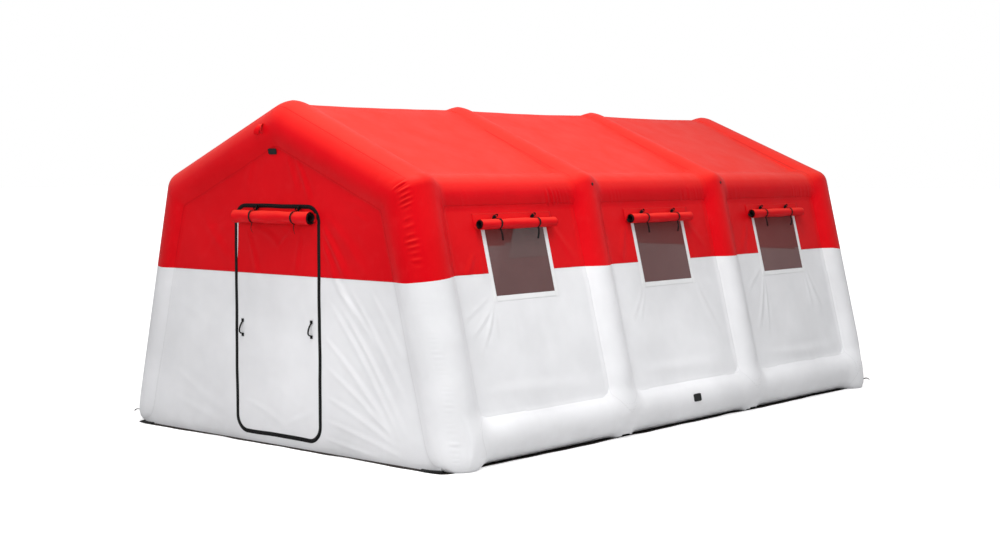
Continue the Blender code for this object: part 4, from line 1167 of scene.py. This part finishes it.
# handles: (height, bow) along the free part, as shares of the handle's height and bow
HANDLE_SHAPE = ((0.0, 0.10), (0.05, 0.66), (0.16, 0.95), (0.32, 1.0), (0.50, 0.90), (0.68, 0.70),
                (0.84, 0.44), (0.95, 0.20), (1.0, 0.08))
for x, z0, label in zip(HANDLE_X, HANDLE_Z, ("left", "right")):
    y, z1 = FACE_Y - 0.0018, z0 + HANDLE_H
    points = [(x, y, z0 - 0.018), (x, y, z0 - 0.007)]
    points += [(x, y - bow * HANDLE_BOW, z0 + HANDLE_H * t) for t, bow in HANDLE_SHAPE]
    points += [(x, y, z1 + 0.007), (x, y, z1 + 0.018)]
    piece = Piece("pull_handle_" + label)
    ribbon(piece, smooth_path(points, 5), (1, 0, 0), HANDLE_W * 0.85, 0.0105)
    for z in (z0 - 0.010, z1 + 0.010):             # stitched end tabs
        ribbon(piece, [(x, y - 0.003, z + dz) for dz in (-0.014, -0.010, 0, 0.010, 0.014)],
               (1, 0, 0), 0.030, 0.0090)
    piece.make("door_handle_" + label, "black_webbing")


def plaque(name, node, middle, right, up, out, width, height, thick=0.0045, power=7.0):
    """A bare rubber patch with a raised hem round it."""
    middle, right, up, out = vectors(middle, right, up, out)
    t = round_about(48)
    round_off = (np.abs(np.cos(t)) ** power + np.abs(np.sin(t)) ** power) ** (-1 / power)
    c, s = (round_off * wave(t) for wave in (np.cos, np.sin))
    grid = []
    for share, rise in ((1.0, 0.0), (1.0, 0.6), (0.985, 1.0), (0.93, 1.0), (0.90, 0.62),
                        (0.5, 0.60), (0.0, 0.60)):
        inset = (1 - share) * min(width, height) / 2
        w, h = (width / 2 - inset, height / 2 - inset) if share else (0, 0)
        grid.append(middle + (c * w)[:, None] * right + (s * h)[:, None] * up + out * thick * rise)
    piece = Piece(name)
    piece.grid(np.array(grid), PATCH, wrap=True)
    return piece.make(node, "black_webbing", sharp=0.8)


facet, lean = pi / 16, radians(13.5)
side_out = np.array((cos(facet), 0, sin(facet)))
plaque("patch_side", "side_patch",
       np.array((BASE_X, MIDDLE_Y + 0.010, BASE_Z)) + side_out * (BASE_R - 0.0008), (0, 1, 0),
       (-sin(facet), 0, cos(facet)), side_out, 0.120, 0.074)
plaque("patch_apex", "apex_patch", (-0.042, FACE_Y - 0.0075, 2.556), (1, 0, 0),
       (0, -sin(lean), cos(lean)), (0, -cos(lean), -sin(lean)), 0.106, 0.052)

# red pull tab of two leaves under the crest
piece = Piece("pull_tab")
tip = np.array((-0.150, Y_ARCH[0] - 0.238, 2.775))
for lean, reach in ((-0.5, 0.072), (0.45, 0.064)):
    points = smooth_path([tip + (0, 0.014, 0.016), tip + (lean * 0.01, -0.012, 0.004),
                          tip + (lean * 0.05, -0.034, -reach * 0.50),
                          tip + (lean * 0.08, -0.030, -reach)], 4)
    ribbon(piece, points, (0.9, -0.5 * np.sign(lean), 0.2), 0.044, 0.0024, FLAP)
piece.make(slot="red_coated_cloth")


def on_arch(k, point, steps):
    """The nearest point of an arch's skin, and the direction out of it."""
    p, n = settle(np.array(point, float)[None, None], arch_field(k), [], steps)
    return p[0, 0], n[0, 0]


# small round vents with a dark bore on the outside of two shoulders: (radius, height) of the rim
VENT = ((0.0150, -0.001), (0.0148, 0.0022), (0.0125, 0.0034), (0.0105, 0.0030), (0.0095, 0.0006),
        (0.0, 0.0002))
for label, k in (("second", 1), ("third", 2)):
    p, n = on_arch(k, (1.6, Y_ARCH[k] + 0.03, 2.262), 12)
    n = n / np.linalg.norm(n)
    a = np.cross(n, (0, 1, 0))
    a /= np.linalg.norm(a)
    t = round_about(32)[:, None]
    turn = np.cos(t) * a + np.sin(t) * np.cross(n, a)
    piece = Piece("vent_" + label)
    piece.grid(np.array([p + turn * r + n * h for r, h in VENT]), TEETH, wrap=True, flip=True)
    piece.make(slot="black_webbing", sharp=0.7)

# strap ends that stand off two corners of the frame
for name, k, aim in (("corner_strap_front", 0, (-0.82, -0.57, 0.0)),
                     ("corner_strap_rear", 3, (0.78, 0.62, 0.0))):
    aim = np.array(aim)
    heel = np.array([aim[0] * 0.14 + np.sign(aim[0]) * 1.93, Y_ARCH[k] + aim[1] * 0.14, 0.085])
    p, n = on_arch(k, heel + aim * 0.10, 14)
    piece = Piece(name)
    points = smooth_path([p + aim * reach + (0, 0, rise) for reach, rise in
                          ((-0.010, 0), (0.020, 0.010), (0.046, 0.008), (0.064, -0.006))], 4)
    ribbon(piece, points, (-aim[1], aim[0], 0.5), 0.018, 0.004)
    piece.make(slot="black_webbing")

# folded strap ends under three corners: (x, y, height) outwards from the corner
TOE = ((-0.11, 0.006, 0.010), (-0.04, 0.016, 0.012), (0.04, 0.002, 0.013), (0.10, -0.040, 0.011))
for name, sx, k in (("toe_front_far", -1, 0), ("toe_front_near", 1, 0), ("toe_rear_near", 1, 3)):
    piece = Piece(name)
    sy = -1 if k == 0 else 1
    points = [(sx * (1.86 + x), Y_ARCH[k] + sy * (0.238 + y), z) for x, y, z in TOE]
    ribbon(piece, smooth_path(points, 4), (0, 1, 0.2), 0.045, 0.011)
    piece.make(slot="black_webbing")

# ground sheet: a thin dark sheet whose edge shows all round, a little wavy and curled; its dark rim
# is partly the real edge and partly painted shadow, standing in for the shadow gap under the ground
# tubes
outline, outs = rounded_box(0, MIDDLE_Y, GROUND_X, GROUND_Y, GROUND_CORNER, 8)
s = lengths(outline)
at = np.linspace(0, s[-1], 640)[:-1]
rim = spaced(at, s, outline)
aim = (rim - (0, MIDDLE_Y)) / np.linalg.norm(rim - (0, MIDDLE_Y), axis=1)[:, None]
wave = 0.006 * np.sin(at * 2.3) + 0.005 * np.sin(at * 6.1 + 1) + 0.004 * np.sin(at * 15.7 + 2)
curl = 0.0060 * np.maximum(0, np.sin(at * 3.7 + 0.6)) ** 2
UNDER, UPPER = 0.0004, 0.0031                       # heights of the sheet's faces
rows = [stacked(0 * at, MIDDLE_Y, UNDER)]
for inset, z in ((0.9, UNDER), (0.03, UNDER), (0.004, UNDER), (0.0, 0.0008), (0.0, 0.0026),
                 (0.004, UPPER), (0.03, UPPER), (0.9, UPPER)):
    xy = rim - aim * inset + aim * (wave * (inset < 0.5) - 0.002)[:, None]
    rows.append(stacked(xy[:, 0], xy[:, 1], z + curl * (inset < 0.02)))
rows.append(stacked(0 * at, MIDDLE_Y, UPPER))
obj = Piece("cloth_ground").grid(np.array(rows), GROUND_CLOTH, wrap=True, flip=True).make(
    "ground_sheet", "ground_cloth")


# ---------------------------------------------------------------- floor, light and the close
def lamp(name, kind, place, power, colour):
    light = bpy.data.lights.new(name, kind)
    light.energy, light.color = power, colour
    return add(name, light, place), light


def area_light(name, place, aim, size, power, colour):
    obj, light = lamp(name, 'AREA', place, power, colour)
    light.shape, light.size = 'DISK', size
    obj.rotation_euler = (Vector(aim) - Vector(place)).to_track_quat('-Z', 'Y').to_euler()


WIDE = 150
floor_mesh = bpy.data.meshes.new("floor")
corners = ((-WIDE, -WIDE), (WIDE, -WIDE), (WIDE, WIDE), (-WIDE, WIDE))
floor_mesh.from_pydata([(x, y, -0.0005) for x, y in corners], [], [(0, 1, 2, 3)])
floor = add("floor", floor_mesh)
pale = Tree("pale_floor", (0.66, 0.66, 0.66), 0.9, 0.1)
reach = pale.node("VectorMath", pale.place, operation='LENGTH', out=1)
pale.set("Emission Color", (1, 1, 1, 1))
glow = pale.span(reach, 3.0, 10.5, 0.58, 0.95)      # the camera sees it fade to white
pale.set("Emission Strength", pale.mul(glow, pale.node("LightPath", out=0)))
floor_mesh.materials.append(pale.mat)

# the camera sees a white world; a softer one lights the tent
world = bpy.data.worlds.new("studio")
world.use_nodes = True
tree = world.node_tree
soft, white = tree.nodes["Background"], tree.nodes.new("ShaderNodeBackground")
soft.inputs[0].default_value, soft.inputs[1].default_value = (1, 1, 1, 1), 0.555
white.inputs[0].default_value, white.inputs[1].default_value = (1, 1, 1, 1), 1.0
both, seen = tree.nodes.new("ShaderNodeMixShader"), tree.nodes.new("ShaderNodeLightPath")
tree.links.new(seen.outputs["Is Camera Ray"], both.inputs[0])
tree.links.new(soft.outputs[0], both.inputs[1])
tree.links.new(white.outputs[0], both.inputs[2])
tree.links.new(both.outputs[0], tree.nodes["World Output"].inputs[0])
bpy.context.scene.world = world
area_light("overhead", (2.9, -3.5, 9.5), (0.3, -0.2, 0.6), 8.0, 890, (1, 0.99, 0.97))
area_light("front", (3.6, -11.5, 4.2), (0.8, -3.4, 1.2), 4.0, 200, (1, 0.99, 0.98))
for k, (y, power) in enumerate(zip(MIDDLES, (44, 28, 22))):
    obj, light = lamp("inside_%d" % k, 'POINT', (0.3, y, 1.7), power, (1, 0.95, 0.93))
    light.shadow_soft_size, obj.visible_camera = 0.4, False
bpy.context.scene.view_settings.view_transform = 'Standard'
